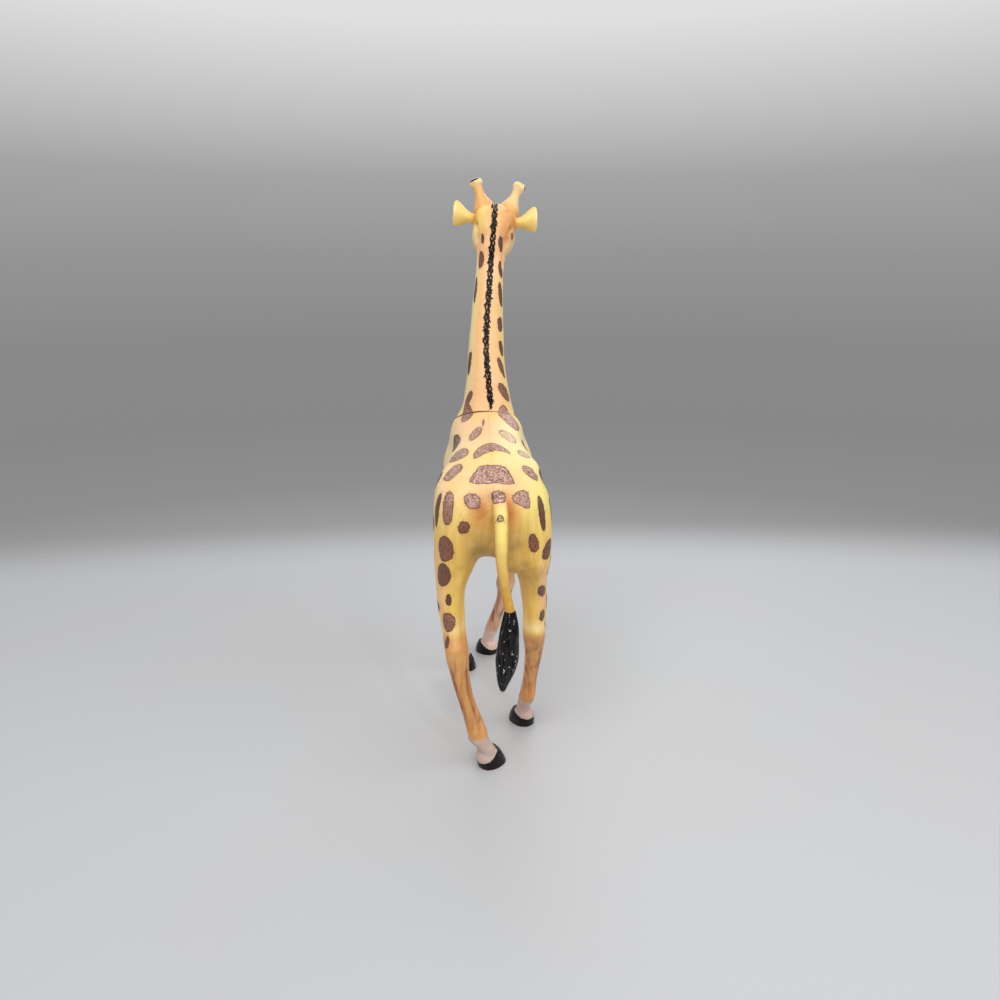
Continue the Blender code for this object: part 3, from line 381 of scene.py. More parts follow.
@dataclass(frozen=True)
class Swell:
    """A soft bump or hollow: where, how wide along each axis, and how far it pushes."""

    centre: Triple
    radii: Triple
    push: float

    def height(self, points: Array) -> Array:
        """Push at each point."""
        off = (points - np.array(self.centre)) / np.array(self.radii)
        return self.push * np.exp(-(off ** 2).sum(axis=1))

    def mirrored(self) -> "Swell":
        """The same bump on the other side."""
        x, y, z = self.centre
        return Swell((-x, y, z), self.radii, self.push)


@dataclass(frozen=True)
class Furrow:
    """A groove, or a ridge when it pushes outwards, along a line of points."""

    line: tuple[Triple, ...]
    radius: float
    push: float

    def distance(self, points: Array) -> Array:
        """Distance from each point to the line."""
        best = np.full(len(points), 1e9)
        for start, end in zip(self.line, self.line[1:]):
            a, run = np.array(start, float), np.array(end, float) - np.array(start, float)
            t = np.clip((points - a) @ run / (run @ run), 0, 1)
            best = np.minimum(best, np.linalg.norm(points - a - t[:, None] * run, axis=1))
        return best

    def height(self, points: Array) -> Array:
        """Push at each point."""
        return self.push * np.exp(-(self.distance(points) / self.radius) ** 2)

    def mirrored(self) -> "Furrow":
        """The same groove on the other side."""
        return Furrow(tuple((-x, y, z) for x, y, z in self.line), self.radius, self.push)


Feature = Swell | Furrow


def total(features: list[Feature], points: Array) -> Array:
    """What all the features push at each point."""
    return sum(feature.height(points) for feature in features)


def both_sides(features: list[Feature]) -> list[Feature]:
    """The features, and then the same ones on the other side."""
    return [*features, *(feature.mirrored() for feature in features)]


@dataclass(frozen=True)
class Plane:
    """A flat cut."""

    point: Array
    normal: Array

    def height(self, points: Array) -> Array:
        """Signed height of points over the plane."""
        return (points - self.point) @ self.normal


def cut(body: Body, plane: Plane, drop_above: bool = False) -> None:
    """Cut a body along a plane, and drop what lies above the plane if asked."""
    bmesh.ops.bisect_plane(body, geom=[*body.verts, *body.edges, *body.faces], dist=1e-4,
                           plane_co=Vector(plane.point), plane_no=Vector(plane.normal),
                           clear_outer=drop_above)


def close(body: Body, leave: Callable[[Vector], bool] | None = None) -> None:
    """Fill the open loops of a body.

    Args:
        body: the body.
        leave: a loop stays open when all of its points pass this test.
    """
    seen: set[bmesh.types.BMEdge] = set()
    loops = []
    for edge in body.edges:
        if not edge.is_boundary or edge in seen:
            continue
        seen.add(edge)
        loop, waiting = [], [edge]
        while waiting:
            one = waiting.pop()
            loop.append(one)
            for corner in one.verts:
                for other in corner.link_edges:
                    if other.is_boundary and other not in seen:
                        seen.add(other)
                        waiting.append(other)
        if not (leave and all(leave(corner.co) for one in loop for corner in one.verts)):
            loops.append(loop)
    for loop in loops:
        made = bmesh.ops.holes_fill(body, edges=loop, sides=0)["faces"]
        bmesh.ops.triangulate(body, faces=made)


def absorbed(mesh: Mesh, body: Body | None = None) -> Body:
    """Move a mesh into a body, or into a new one."""
    body = bmesh.new() if body is None else body
    body.from_mesh(mesh)
    bpy.data.meshes.remove(mesh)
    return body


def as_mesh(body: Body, name: str = "shape") -> Mesh:
    """Mesh of a body, which is freed."""
    mesh = bpy.data.meshes.new(name)
    body.to_mesh(mesh)
    body.free()
    return mesh


def as_body(points: Array, faces: Faces, fields: Fields | None = None) -> Body:
    """Body with these points, faces and values at its points, in millimetres."""
    mesh = plain_mesh(points, faces)
    for name, values in (fields or {}).items():
        layer = mesh.attributes.new(name, "FLOAT", "POINT")
        layer.data.foreach_set("value", np.asarray(values, np.float32))
    return absorbed(mesh)


def read_body(body: Body) -> tuple[Array, Faces, Fields]:
    """Points, faces and values of a body, which is freed."""
    mesh = as_mesh(body)
    points = pull(mesh.vertices, "co", 3)
    corners = pull(mesh.loops, "vertex_index", kind=np.int64)
    stops = np.cumsum(pull(mesh.polygons, "loop_total", kind=np.int64))[:-1]
    faces = [tuple(face.tolist()) for face in np.split(corners, stops)]
    fields = {layer.name: pull(layer.data, "value", kind=np.float32) for layer in mesh.attributes
              if layer.data_type == "FLOAT" and layer.domain == "POINT"}
    bpy.data.meshes.remove(mesh)
    return points, faces, fields


def share_out(body: Body, choose: Callable[[Array], Array], count: int
              ) -> list[Body]:
    """Hand a body's faces out to several new bodies.

    Args:
        body: the body, which is freed.
        choose: gives each face its body's number from the faces' middles.
        count: number of bodies.

    Returns:
        The new bodies, open where they were parted.
    """
    points, faces, fields = read_body(body)
    sizes = np.array([len(face) for face in faces])
    corners = np.concatenate([np.array(face) for face in faces])
    owner = np.repeat(np.arange(len(faces)), sizes)
    middles = np.stack([np.bincount(owner, points[corners, k]) for k in range(3)], axis=1) / sizes[:, None]
    numbers = choose(middles)
    parts = []
    for number in range(count):
        mine = np.flatnonzero(numbers == number)
        used = np.unique(corners[numbers[owner] == number])
        index = np.full(len(points), -1)
        index[used] = np.arange(len(used))
        parts.append(as_body(points[used], [tuple(index[list(faces[i])].tolist()) for i in mine],
                             {name: values[used] for name, values in fields.items()}))
    return parts


def point_normals(points: Array, faces: Faces) -> Array:
    """Outward normal at each point of any faces."""
    mesh = plain_mesh(points, faces)
    found = pull(mesh.vertex_normals, "vector", 3)
    bpy.data.meshes.remove(mesh)
    return found


def walled(body: Body, thickness: float, end: Plane) -> Body:
    """Give an open shell its inner wall and its rim.

    Args:
        body: the shell, open along a flat parting, which is freed.
        thickness: thickness of the wall.
        end: flat end of the shell, facing into it, which the inner wall stays clear of.

    Returns:
        The closed wall.
    """
    points, faces, fields = read_body(body)
    count = len(points)
    directed = {(a, b) for face in faces for a, b in zip(face, face[1:] + face[:1])}
    rim = [(a, b) for a, b in directed if (b, a) not in directed]
    inner = points - point_normals(points, faces) * thickness
    inner += np.outer(np.maximum(0.4 - end.height(inner), 0.0), end.normal)
    edge = sorted({a for pair in rim for a in pair})
    inner[edge, 0] = points[edge, 0]
    inside = [tuple(i + count for i in reversed(face)) for face in faces]
    bridge = [(b, a, a + count, b + count) for a, b in sorted(rim)]
    doubled = {name: np.concatenate([values, -values if name in NORMAL_FIELDS else values])
               for name, values in fields.items()}
    return as_body(np.vstack([points, inner]), faces + inside + bridge, doubled)


def refined(body: Body) -> Body:
    """Split every face in four."""
    bmesh.ops.subdivide_edges(body, edges=body.edges, cuts=1, use_grid_fill=True)
    return body


def linear(colour: tuple[int, int, int]) -> Array:
    """Scene-linear colour of an 8-bit one."""
    share = np.array(colour) / 255
    return np.where(share <= 0.04045, share / 12.92, ((share + 0.055) / 1.055) ** 2.4)


@dataclass
class Piece:
    """A finished piece, which stands for the frame's node of the same name."""

    name: str
    rides: str
    slot: str

    def publish(self, body: Body, finish: Material) -> bpy.types.Object:
        """Turn a painted body into the piece's object.

        Args:
            body: the body in millimetres, which is freed.
            finish: its material.

        Returns:
            The object.
        """
        points, faces, fields = read_body(body)
        mesh = plain_mesh(points * MM, faces, self.name)
        for name, values in fields.items():
            if name not in NORMAL_FIELDS + TINT_FIELDS:
                mesh.attributes.new(name, "FLOAT", "POINT").data.foreach_set("value", values)
        if "red" in fields:
            tint = np.column_stack([stacked(fields, TINT_FIELDS), np.ones(len(points))])
            mesh.attributes.new("tint", "FLOAT_COLOR", "POINT").data.foreach_set("color", tint.ravel())
        mesh.polygons.foreach_set("use_smooth", [True] * len(faces))
        if "nx" in fields:
            self._set_normals(mesh, stacked(fields, NORMAL_FIELDS))
        return self.dress(mesh, finish)

    def dress(self, mesh: Mesh, finish: Material) -> bpy.types.Object:
        """Make the piece's object from its mesh, put it on its body, and hide the frame's part of the same
        name.
        """
        mesh.materials.clear()
        mesh.materials.append(finish)
        item = placed(self.name, mesh)
        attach(item, self.rides)
        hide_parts(self.name)
        LOG.info("%s: %d points", self.name, len(mesh.vertices))
        return item

    @staticmethod
    def _set_normals(mesh: Mesh, smooth: Array) -> None:
        """Shade the skin with the fused skin's normals, and flat cuts as flat."""
        smooth = smooth / np.maximum(np.linalg.norm(smooth, axis=1, keepdims=True), 1e-9)
        sizes = pull(mesh.polygons, "loop_total", kind=np.int64)
        flat = np.repeat(pull(mesh.polygons, "normal", 3), sizes, axis=0)
        chosen = smooth[pull(mesh.loops, "vertex_index", kind=np.int64)]
        off = (chosen * flat).sum(axis=1) < 0.3
        chosen[off] = flat[off]
        mesh.normals_split_custom_set(chosen.tolist())


@dataclass(frozen=True)
class Spot:
    """One airbrushed spot: its middle, its two half axes, and its form."""

    centre: Triple
    long: Triple
    short: Triple
    tone: float
    taper: float = 0.0
    bend: float = 0.0
    power: float = 2.3

    def reach(self) -> float:
        """Largest half size."""
        return max(float(np.linalg.norm(self.long)), float(np.linalg.norm(self.short)))

    def outline(self, points: Array, normals: Array) -> Array:
        """Distance of points to the outline, negative inside; far away where the skin faces off."""
        u, v = np.array(self.long, float), np.array(self.short, float)
        out = unit(np.cross(u, v))
        off = points - np.array(self.centre)
        a, b, _ = np.linalg.solve(np.column_stack([u, v, out]), off.T)
        b = (b - self.bend * (a * a - 0.4)) / np.clip(1 + self.taper * a, 0.3, None)
        radial = (np.abs(a) ** self.power + np.abs(b) ** self.power) ** (1 / self.power)
        flat = np.sqrt(np.maximum((off ** 2).sum(axis=1) - (off @ out) ** 2, 0.0))
        distance = (radial - 1) * flat / np.maximum(radial, 1e-3)
        near = np.linalg.norm(off, axis=1) < self.reach()
        facing = normals @ out
        if near.any() and facing[near].mean() < 0:
            facing = -facing
        return np.where(facing > -0.15, distance, FAR)


# Spots at the tail's root
TAIL_SPOTS: tuple[Spot, ...] = (
    Spot((3.4, -99.5, 202.6), (0.1, 3.9, 3), (4.6, 0.3, -0.1), 0.95, taper=0.25, power=4),
    Spot((3.7, -109.9, 191.6), (0.1, 1.4, 2.4), (-2.4, -0.2, 0.1), 1.3, taper=-0.5),
)

# Spots that show in the photograph: middle, half axes, tone (0 dark, 1 mauve), then form
# A high tone is partly the spot's own paint and partly a painted reflection of the overhead light on spots
# that face up.
SEEN_SPOTS: tuple[Spot, ...] = (
    Spot((12.6, 46.3, 369.8), (0.3, 0.5, -6), (-2, -1.5, -0.1), 0),
    Spot((12.1, 46.3, 350.5), (0.6, -0.4, -6.7), (-2, -2.6, -0.2), 0),
    Spot((11.8, 39.8, 331.2), (0.9, -1.7, -9.4), (-2, -2.6, -0.2), 0),
    Spot((10.8, 31.4, 308.5), (0.3, -1.5, -5.5), (-2.2, -2.8, 0), 0.05, power=3),
    Spot((11.5, 26, 290.3), (1.3, -0.4, -6.2), (-1.9, -2.4, -0.2), 0.05),
    Spot((11.4, 19.6, 275.5), (2.2, 0.2, -8.1), (-1.7, -2.4, -0.4), 0.15, taper=-0.2),
    Spot((13.3, 14.8, 256.9), (3.4, 2.2, -7.4), (-2.5, -3.4, -0.8), 0.35),
    Spot((-2.7, 47.6, 374), (-0.3, -1.3, -3.7), (-1.2, 1.1, 0.1), 0),
    Spot((-3.2, 46.8, 357.8), (-1.1, -1.2, -6.6), (-1.8, 2.6, 0.3), 0.2),
    Spot((-8.2, 43, 334.9), (-1.2, -3.6, -9.9), (-1.5, 2.2, 0.1), 0),
    Spot((-13.9, 25.2, 278.7), (-1, -1.6, -9.2), (-1.3, 3.4, -0.3), 0),
    Spot((-15.1, 15.4, 252), (-2.9, 0.9, -5.8), (-1.8, 2.8, 0.5), 0.3),
    Spot((-16.3, 8.2, 239), (-4, -6.4, -3.3), (-2.6, 7.6, 0.6), 0.5, taper=-0.2),
    Spot((16.4, 1.5, 237.6), (7.8, -7.3, -6), (-3.1, -8, -1.2), 0.8, taper=0.15),
    Spot((-10.4, -25.5, 231.8), (-4.7, -7.8, -2.7), (-1.9, 5.2, 1.2), 0.8),
    Spot((-4.1, -10.1, 237.2), (-0.6, -6.6, -2.4), (-0.7, 0.3, 0), 0.4, power=1.6),
    Spot((13.5, -28.2, 230.2), (5.7, -5.1, -3.8), (-2, -6.2, -0.9), 1.6, taper=0.2),
    Spot((-26.3, -19.5, 224), (-2.2, -10.4, -3.9), (-3, 9.2, -0.8), 0.05, taper=-0.35),
    Spot((-23.5, -49.1, 220.4), (-6.3, -0.3, -4.7), (-1.6, 8.7, 0.3), 0.8),
    Spot((0.9, -53.9, 225.3), (13.6, 2.2, -0.6), (-0.3, -6.3, -1.8), 0.64, taper=-0.52, bend=1.5,
         power=2.6),
    Spot((23.3, -50.1, 220.5), (3.5, -2.2, -3), (-1.4, -5.1, 0), 1.3),
    Spot((-26.8, -70.9, 212.2), (-5.5, -4.4, -5.1), (-2.3, 6.2, 0.5), 0.75),
    Spot((-0.5, -81.1, 214.4), (-0.1, -6.8, -5.2), (12.9, -0.8, 0.5), 0.88, taper=0.30, power=6),
    Spot((26.4, -71.9, 212.2), (5.1, -2.1, -4.6), (-2.4, -4.5, -1), 0.7),
    Spot((-35.5, -62, 204), (-1.5, -2, -7), (-1.5, 6, 0), 0),
    Spot((30.4, -14.6, 221.2), (0.8, -7.8, -1.4), (-1.9, -3.9, 4), 0),
    Spot((35.5, -60, 206), (1.5, -2, -6), (-1.5, -6, 0), 0),
    Spot((-37.4, -84.9, 190.4), (-2.5, -1.4, -11.7), (-1.8, 2.6, -0.4), 0.15),
    Spot((-30.4, -91.8, 193.7), (-1.7, -5, -10.2), (-3.6, 2, 0), 0.65, power=2.8),
    Spot((-14.5, -94.9, 199.4), (-0.1, -2.9, -4.6), (-4.9, 1.8, -0.4), 0.95),
    Spot((19.9, -92.7, 198.8), (3.3, -1.2, -5.7), (-4, -3.7, -1.1), 0.9, taper=-0.5),
    TAIL_SPOTS[0],
    Spot((32.6, -86.8, 187.3), (2.1, -2.7, -12.1), (-2.6, -1.6, 0.1), 0.1),
    Spot((-20.3, -98.2, 181.9), (-0.1, -0.5, -4.2), (-4, 0, 0.1), 0.3, power=2.6),
    Spot((-33.3, -96.5, 166.2), (0.8, -1.4, -8.8), (-5.6, 3.5, -1.8), 0.35),
    Spot((27.3, -93.4, 168.4), (1.2, -0.4, -6.8), (-3.5, 0, -0.6), 0.3, taper=0.2),
    Spot((37.9, -86.2, 161.2), (-1.7, -3.9, -6.6), (-2.6, -4.8, 2.1), 0.15),
    Spot((-35.3, -96.3, 147.2), (0.1, -0.7, -8.3), (-5.1, 3.6, -1.5), 0.2),
    Spot((-31.5, -100.3, 130.1), (-0.1, -0.6, -4.4), (-2, 0, 0), 0.1),
    Spot((-33, -102.5, 114.4), (0.5, -1.7, -6.4), (-4.3, 2.5, -1.5), 0.5),
    Spot((-33.8, -105.3, 100.7), (-0.1, -1.4, -4.3), (-1.3, 1.7, -0.8), 0.1),
    Spot((35.8, -81.8, 127.6), (0.2, 1.1, -5), (-3.8, -3, 1.4), 0.2),
    Spot((36.5, -82.1, 108.2), (0, -0.3, -4.5), (-2.8, -1.8, 0.7), 0.15),
)


class SpotCoat:
    """All the spots on one skin."""

    def __init__(self, spots: list[Spot]) -> None:
        """Keep the spots."""
        self.spots = spots

    def read(self, points: Array, normals: Array) -> dict[str, Array]:
        """Distance to the nearest outline and the tone of that spot, at each point."""
        distance, tone = np.full(len(points), CLEAR), np.zeros(len(points))
        for spot in self.spots:
            near = np.linalg.norm(points - np.array(spot.centre), axis=1) < spot.reach() * 1.6 + 6
            if not near.any():
                continue
            found = spot.outline(points[near], normals[near])
            rows = np.flatnonzero(near)
            closer = found < distance[rows]
            distance[rows[closer]] = found[closer]
            tone[rows[closer]] = spot.tone
        return {"spot": distance, "tone": tone}


@dataclass(frozen=True)
class Scatter:
    """Seeded spots for the sides that the photograph doesn't show."""

    seed: int
    clearance: float
    size: Callable[[Array], Array]

    def over(self, flesh: Flesh, allowed: Array, taken: tuple[Spot, ...]) -> list[Spot]:
        """Spread spots over the allowed points, clear of those already there.

        Args:
            flesh: the skin they lie on.
            allowed: true for each point that may be a middle.
            taken: spots that keep their place.

        Returns:
            The new spots.
        """
        dice = random.Random(self.seed)
        normals = flesh.normals()
        sizes = self.size(flesh.points)
        order = [int(i) for i in np.flatnonzero(allowed & (sizes > 0))]
        dice.shuffle(order)
        centres = [np.array(spot.centre) for spot in taken]
        radii = [0.5 * float(np.linalg.norm(spot.long) + np.linalg.norm(spot.short)) for spot in taken]
        made = []
        passes = [(scale, i) for scale in (1.25, 0.95, 0.62) for i in order[:24000]]
        for scale, i in passes:
            radius = sizes[i] * scale * (0.92 + 0.16 * ((i * 7919) % 101) / 101)
            off = np.linalg.norm(np.array(centres) - flesh.points[i], axis=1)
            if (off < np.array(radii) + radius + self.clearance).any():
                continue
            centres.append(flesh.points[i])
            radii.append(radius)
            out = normals[i]
            down = unit(-Z + 0.3 * Y + out * (Z - 0.3 * Y) @ out)
            turn = dice.uniform(-0.6, 0.6)
            long = math.cos(turn) * down + math.sin(turn) * np.cross(out, down)
            short = np.cross(out, long)
            stretch = dice.uniform(1.0, 1.22)
            made.append(Spot(tuple(flesh.points[i]), tuple(long * radius * stretch),
                             tuple(short * radius / stretch), dice.uniform(0.0, 0.45),
                             taper=dice.uniform(-0.32, 0.32), bend=dice.uniform(-0.25, 0.25),
                             power=dice.uniform(2.3, 4.2)))
        return made


class Paint(Enum):
    """The airbrush colours, and colours laid on as painted light and shade, as 8-bit values."""

    YELLOW = (240, 206, 116)
    LEMON = (248, 230, 122)
    PEACH = (246, 190, 142)
    CREAM = (246, 224, 172)
    GOLD = (240, 192, 90)
    ORANGE = (204, 126, 54)
    OCHRE = (206, 156, 58)
    TAN = (214, 146, 84)
    BONE = (196, 172, 163)
    ROSE = (206, 160, 128)
    CHEEK = (230, 208, 156)
    HORN = (230, 176, 100)
    DARK_SPOT = (96, 62, 42)
    BROWN_SPOT = (139, 90, 68)
    # MAUVE_SPOT is partly spot paint and partly a painted reflection of the overhead light.
    MAUVE_SPOT = (178, 134, 118)
    PALE_SPOT = (222, 186, 128)
    # SHEEN is painted light: glints on up-facing spots, and lightening low on the fore shanks.
    SHEEN = (226, 192, 180)
    OUTLINE = (96, 56, 36)
    STREAK = (150, 84, 44)
    BLACK = (16, 14, 14)
    # Pale plastic under chips and wear; on the tuft its many flecks are painted glints.
    CHIP = (206, 202, 198)
    # Painted shade low beside the tail.
    OLIVE = (164, 134, 74)
    # Fore pasterns: pale paint made lighter still, partly painted light.
    CREST = (228, 198, 184)
    BARE = (196, 192, 184)
    TABLE = (188, 190, 192)


class Bench:
    """Adds nodes to a node tree in few words."""

    def __init__(self, tree: Tree) -> None:
        """Keep the tree."""
        self.tree = tree

    def feed(self, node: Node, feeds: Feeds) -> None:
        """Link a node's inputs to other sockets, or set them to colours or values."""
        for key, value in feeds.items():
            if isinstance(value, Socket):
                self.tree.links.new(value, node.inputs[key])
            else:
                plain = (*linear(value.value), 1.0) if isinstance(value, Paint) else value
                node.inputs[key].default_value = plain

    def add(self, kind: str, feeds: Feeds | None = None, **settings: object) -> Node:
        """Add a node, set its options, and feed its inputs."""
        node = self.tree.nodes.new(kind)
        for name, value in settings.items():
            setattr(node, name, value)
        self.feed(node, feeds or {})
        return node

    def group(self, tree: Tree, feeds: Feeds) -> Node:
        """Add a node group."""
        return self.add("ShaderNodeGroup", feeds, node_tree=tree)

    def math(self, operation: str, a: object, b: object = 0.0, clamp: bool = False) -> Socket:
        """Result of a sum on two values."""
        return self.add("ShaderNodeMath", {0: a, 1: b}, operation=operation, use_clamp=clamp).outputs[0]

    def plus(self, a: object, b: object) -> Socket:
        """Sum of two values."""
        return self.math("ADD", a, b)

    def times(self, a: object, b: object, clamp: bool = False) -> Socket:
        """Product of two values."""
        return self.math("MULTIPLY", a, b, clamp)

    def step(self, value: object, low: float, high: float, out: tuple[float, float] = (0.0, 1.0)) -> Socket:
        """Smooth step of a value from low to high."""
        feeds = dict(enumerate((value, low, high, *out)))
        return self.add("ShaderNodeMapRange", feeds, interpolation_type="SMOOTHSTEP").outputs[0]

    def share(self, value: object, low: float, high: float, most: object) -> Socket:
        """Smooth step of a value, times the most that it reaches."""
        return self.times(self.step(value, low, high), most)

    def swing(self, value: object, amount: float) -> Socket:
        """Noise moved to swing to both sides of nought."""
        return self.times(self.math("SUBTRACT", value, 0.5), amount)

    def mix(self, under: object, over: object, share: object) -> Socket:
        """Colour over another by a share."""
        return self.add("ShaderNodeMix", {0: share, 6: under, 7: over}, data_type="RGBA").outputs[2]

    def place(self, stretch: Triple = (1.0, 1.0, 1.0)) -> Socket:
        """Object coordinates, stretched."""
        return self.add("ShaderNodeMapping", {"Vector": self.coords("Object"), "Scale": stretch}).outputs[0]

    def coords(self, kind: str) -> Socket:
        """Coordinates of one kind."""
        return self.add("ShaderNodeTexCoord").outputs[kind]

    def noise(self, scale: float, detail: float = 2.0, stretch: Triple = (1.0, 1.0, 1.0)) -> Socket:
        """Noise on object coordinates, with features of about 1 / scale metres."""
        feeds = {"Vector": self.place(stretch), "Scale": scale, "Detail": detail}
        return self.add("ShaderNodeTexNoise", feeds).outputs[0]

    def grains(self, scale: float) -> Socket:
        """Distance to the nearest of scattered points on object coordinates."""
        return self.add("ShaderNodeTexVoronoi", {"Vector": self.place(), "Scale": scale}).outputs[0]

    def read(self, name: str, form: str = "Fac") -> Socket:
        """Value that the mesh carries at its points, or with "Color" a colour."""
        return self.add("ShaderNodeAttribute", attribute_name=name).outputs[form]


class Group(Bench):
    """A new node group with named inputs and outputs."""

    def __init__(self, name: str, takes: Takes,
                 gives: tuple[tuple[str, str], ...], kind: str = "ShaderNodeTree") -> None:
        """Make the group and its sockets.

        Args:
            name: name of the group.
            takes: name, kind and value of each input.
            gives: name and kind of each output.
            kind: kind of node tree.
        """
        super().__init__(bpy.data.node_groups.new(name, kind))
        self.values: Feeds = {}
        for label, form, value in takes:
            socket = self.tree.interface.new_socket(label, in_out="INPUT", socket_type=f"NodeSocket{form}")
            self.values[socket.identifier] = value
            if form == "Float":
                socket.default_value = value
        for label, form in gives:
            self.tree.interface.new_socket(label, in_out="OUTPUT", socket_type=f"NodeSocket{form}")
        source = self.tree.nodes.new("NodeGroupInput")
        self.sink = self.tree.nodes.new("NodeGroupOutput")
        self.takes = [socket for socket in source.outputs if socket.name]

    def end(self, results: Feeds) -> Tree:
        """Feed the outputs, and give the finished group."""
        self.feed(self.sink, results)
        return self.tree


def spots_effect() -> Tree:
    """Group for airbrushed spots: feathered edge, dark outline, stippled middle and overspray, with painted
    glints on the middle where the spot faces up.
    """
    bench = Group("Airbrushed spots",
                  (("Skin", "Color", None), ("Distance", "Float", CLEAR), ("Tone", "Float", 0.0),
                   ("Sheen", "Float", 0.0), ("Feather", "Float", 0.35), ("Mist", "Float", 0.75)),
                  (("Color", "Color"),))
    skin, near, tone, sheen, feather, mist = bench.takes
    fray = bench.swing(bench.noise(1300, 3, (1, 1, 0.6)), 1.5)
    distance = bench.plus(near, bench.plus(bench.swing(bench.noise(260), 2.2), fray))
    mask = bench.step(bench.math("DIVIDE", distance, feather), 1.0, -1.0)
    # Pale flecks on the spot's middle where it faces up are painted highlight.
    painted_glints = bench.share(bench.noise(900, 3), 0.50, 0.62, sheen)
    middle = Paint.DARK_SPOT
    for over, share in (
            (Paint.BROWN_SPOT, bench.step(tone, 0, 0.4)),
            (Paint.MAUVE_SPOT, bench.step(tone, 0.35, 1)),
            (Paint.PALE_SPOT, bench.step(tone, 1.05, 1.6)),
            (Paint.SHEEN, bench.times(painted_glints, 0.85)),
            (Paint.DARK_SPOT, bench.share(bench.noise(820, 3, (1, 1, 0.7)), 0.47, 0.40, 0.85)),
            (Paint.OUTLINE, bench.share(distance, -1.35, -0.35, 0.92))):
        middle = bench.mix(middle, over, share)
    dust = bench.share(bench.noise(1500), 0.56, 0.64, bench.step(near, 3.4, 0.2))
    dusted = bench.mix(skin, Paint.BROWN_SPOT, bench.times(dust, mist))
    return bench.end({"Color": bench.mix(dusted, middle, mask)})


def grain_effect() -> Tree:
    """Group for the moulded hair grain: long fine strokes and soft dents, as a normal."""
    bench = Group("Hair grain", (("Depth", "Float", 0.2), ("Stroke", "Float", 1.0)), (("Normal", "Vector"),))
    depth, stroke = bench.takes
    strokes = bench.times(bench.noise(1500, 3, (1, 1, 0.22)), stroke)
    dents = bench.plus(bench.times(bench.noise(330), 0.9), bench.times(bench.grains(1300), 0.35))
    bump = bench.add("ShaderNodeBump", {"Strength": depth, "Distance": 0.0006,
                                        "Height": bench.plus(strokes, dents)})
    return bench.end({"Normal": bump.outputs[0]})


def wear_effect() -> Tree:
    """Group for brushed black paint: thin places and chips that show the plastic; at a high amount, as on the
    tuft, the pale flecks are painted glints.
    """
    bench = Group("Paint wear",
                  (("Plastic", "Color", None), ("Cover", "Float", 1.0), ("Chips and glints", "Float", 0.3)),
                  (("Color", "Color"), ("Roughness", "Float")))
    plastic, cover, chips = bench.takes
    # Bare flecks: real chips, and where the amount is high painted glints on glossy hair.
    bare = bench.share(bench.noise(620, 3, (1, 1, 0.5)), 0.65, 0.70, chips)
    cover = bench.times(cover, bench.math("SUBTRACT", 1.0, bare), clamp=True)
    streaks = bench.noise(500, 3, (1, 1, 0.3))
    return bench.end({"Color": bench.mix(plastic, Paint.BLACK, cover),
                      "Roughness": bench.step(streaks, 0.3, 0.8, (0.12, 0.24))})


class Coating(Bench):
    """A new material with its surface shader."""

    def __init__(self, name: str) -> None:
        """Make the material."""
        self.material = bpy.data.materials.new(name)
        self.material.use_nodes = True
        super().__init__(self.material.node_tree)
        self.shader = self.tree.nodes["Principled BSDF"]

    def finish(self, feeds: Feeds) -> Material:
        """Feed the surface shader, and give the material."""
        self.feed(self.shader, feeds)
        return self.material


@dataclass(frozen=True)
class HideFinish:
    """Airbrushed skin: a tint at each point, spots over it, hoof paint and streaks over those."""

    name: str
    grain: float = 0.22
    stroke: float = 1.0
    roughness: float = 0.40
    shine: float = 0.45

    def build(self, effects: dict[str, Tree]) -> Material:
        """Make the material."""
        bench = Coating(self.name)
        pale = bench.share(bench.noise(160, 3), 0.45, 0.75, 0.16)
        warm = bench.share(bench.noise(950, 3, (1, 1, 0.4)), 0.55, 0.8, 0.16)
        lines = bench.step(bench.noise(330, 2, (1, 1, 0.05)), 0.42, 0.68)
        skin = bench.mix(bench.read("tint", "Color"), Paint.CREAM, pale)
        skin = bench.mix(skin, Paint.ORANGE, warm)
        skin = bench.mix(skin, Paint.STREAK, bench.times(lines, bench.read("streak"), clamp=True))
        spots = bench.group(effects["spots"], {"Skin": skin, "Distance": bench.read("spot"),
                                               "Tone": bench.read("tone"), "Sheen": bench.read("sheen")})
        ragged = bench.plus(bench.read("black"), bench.swing(bench.noise(400, 3), 1.4))
        cover = bench.step(ragged, 0.25, -0.25)
        wear = bench.group(effects["wear"], {"Plastic": spots.outputs["Color"], "Cover": cover})
        matt = bench.step(bench.noise(600), 0.3, 0.7, (self.roughness - 0.05, self.roughness + 0.07))
        gloss = bench.add("ShaderNodeMix", {0: cover, 2: matt, 3: wear.outputs["Roughness"]},
                          data_type="FLOAT")
        grain = bench.group(effects["grain"], {"Depth": self.grain, "Stroke": self.stroke})
        return bench.finish({"Base Color": wear.outputs["Color"], "Roughness": gloss.outputs[0],
                             "Normal": grain.outputs["Normal"], "Specular IOR Level": self.shine})


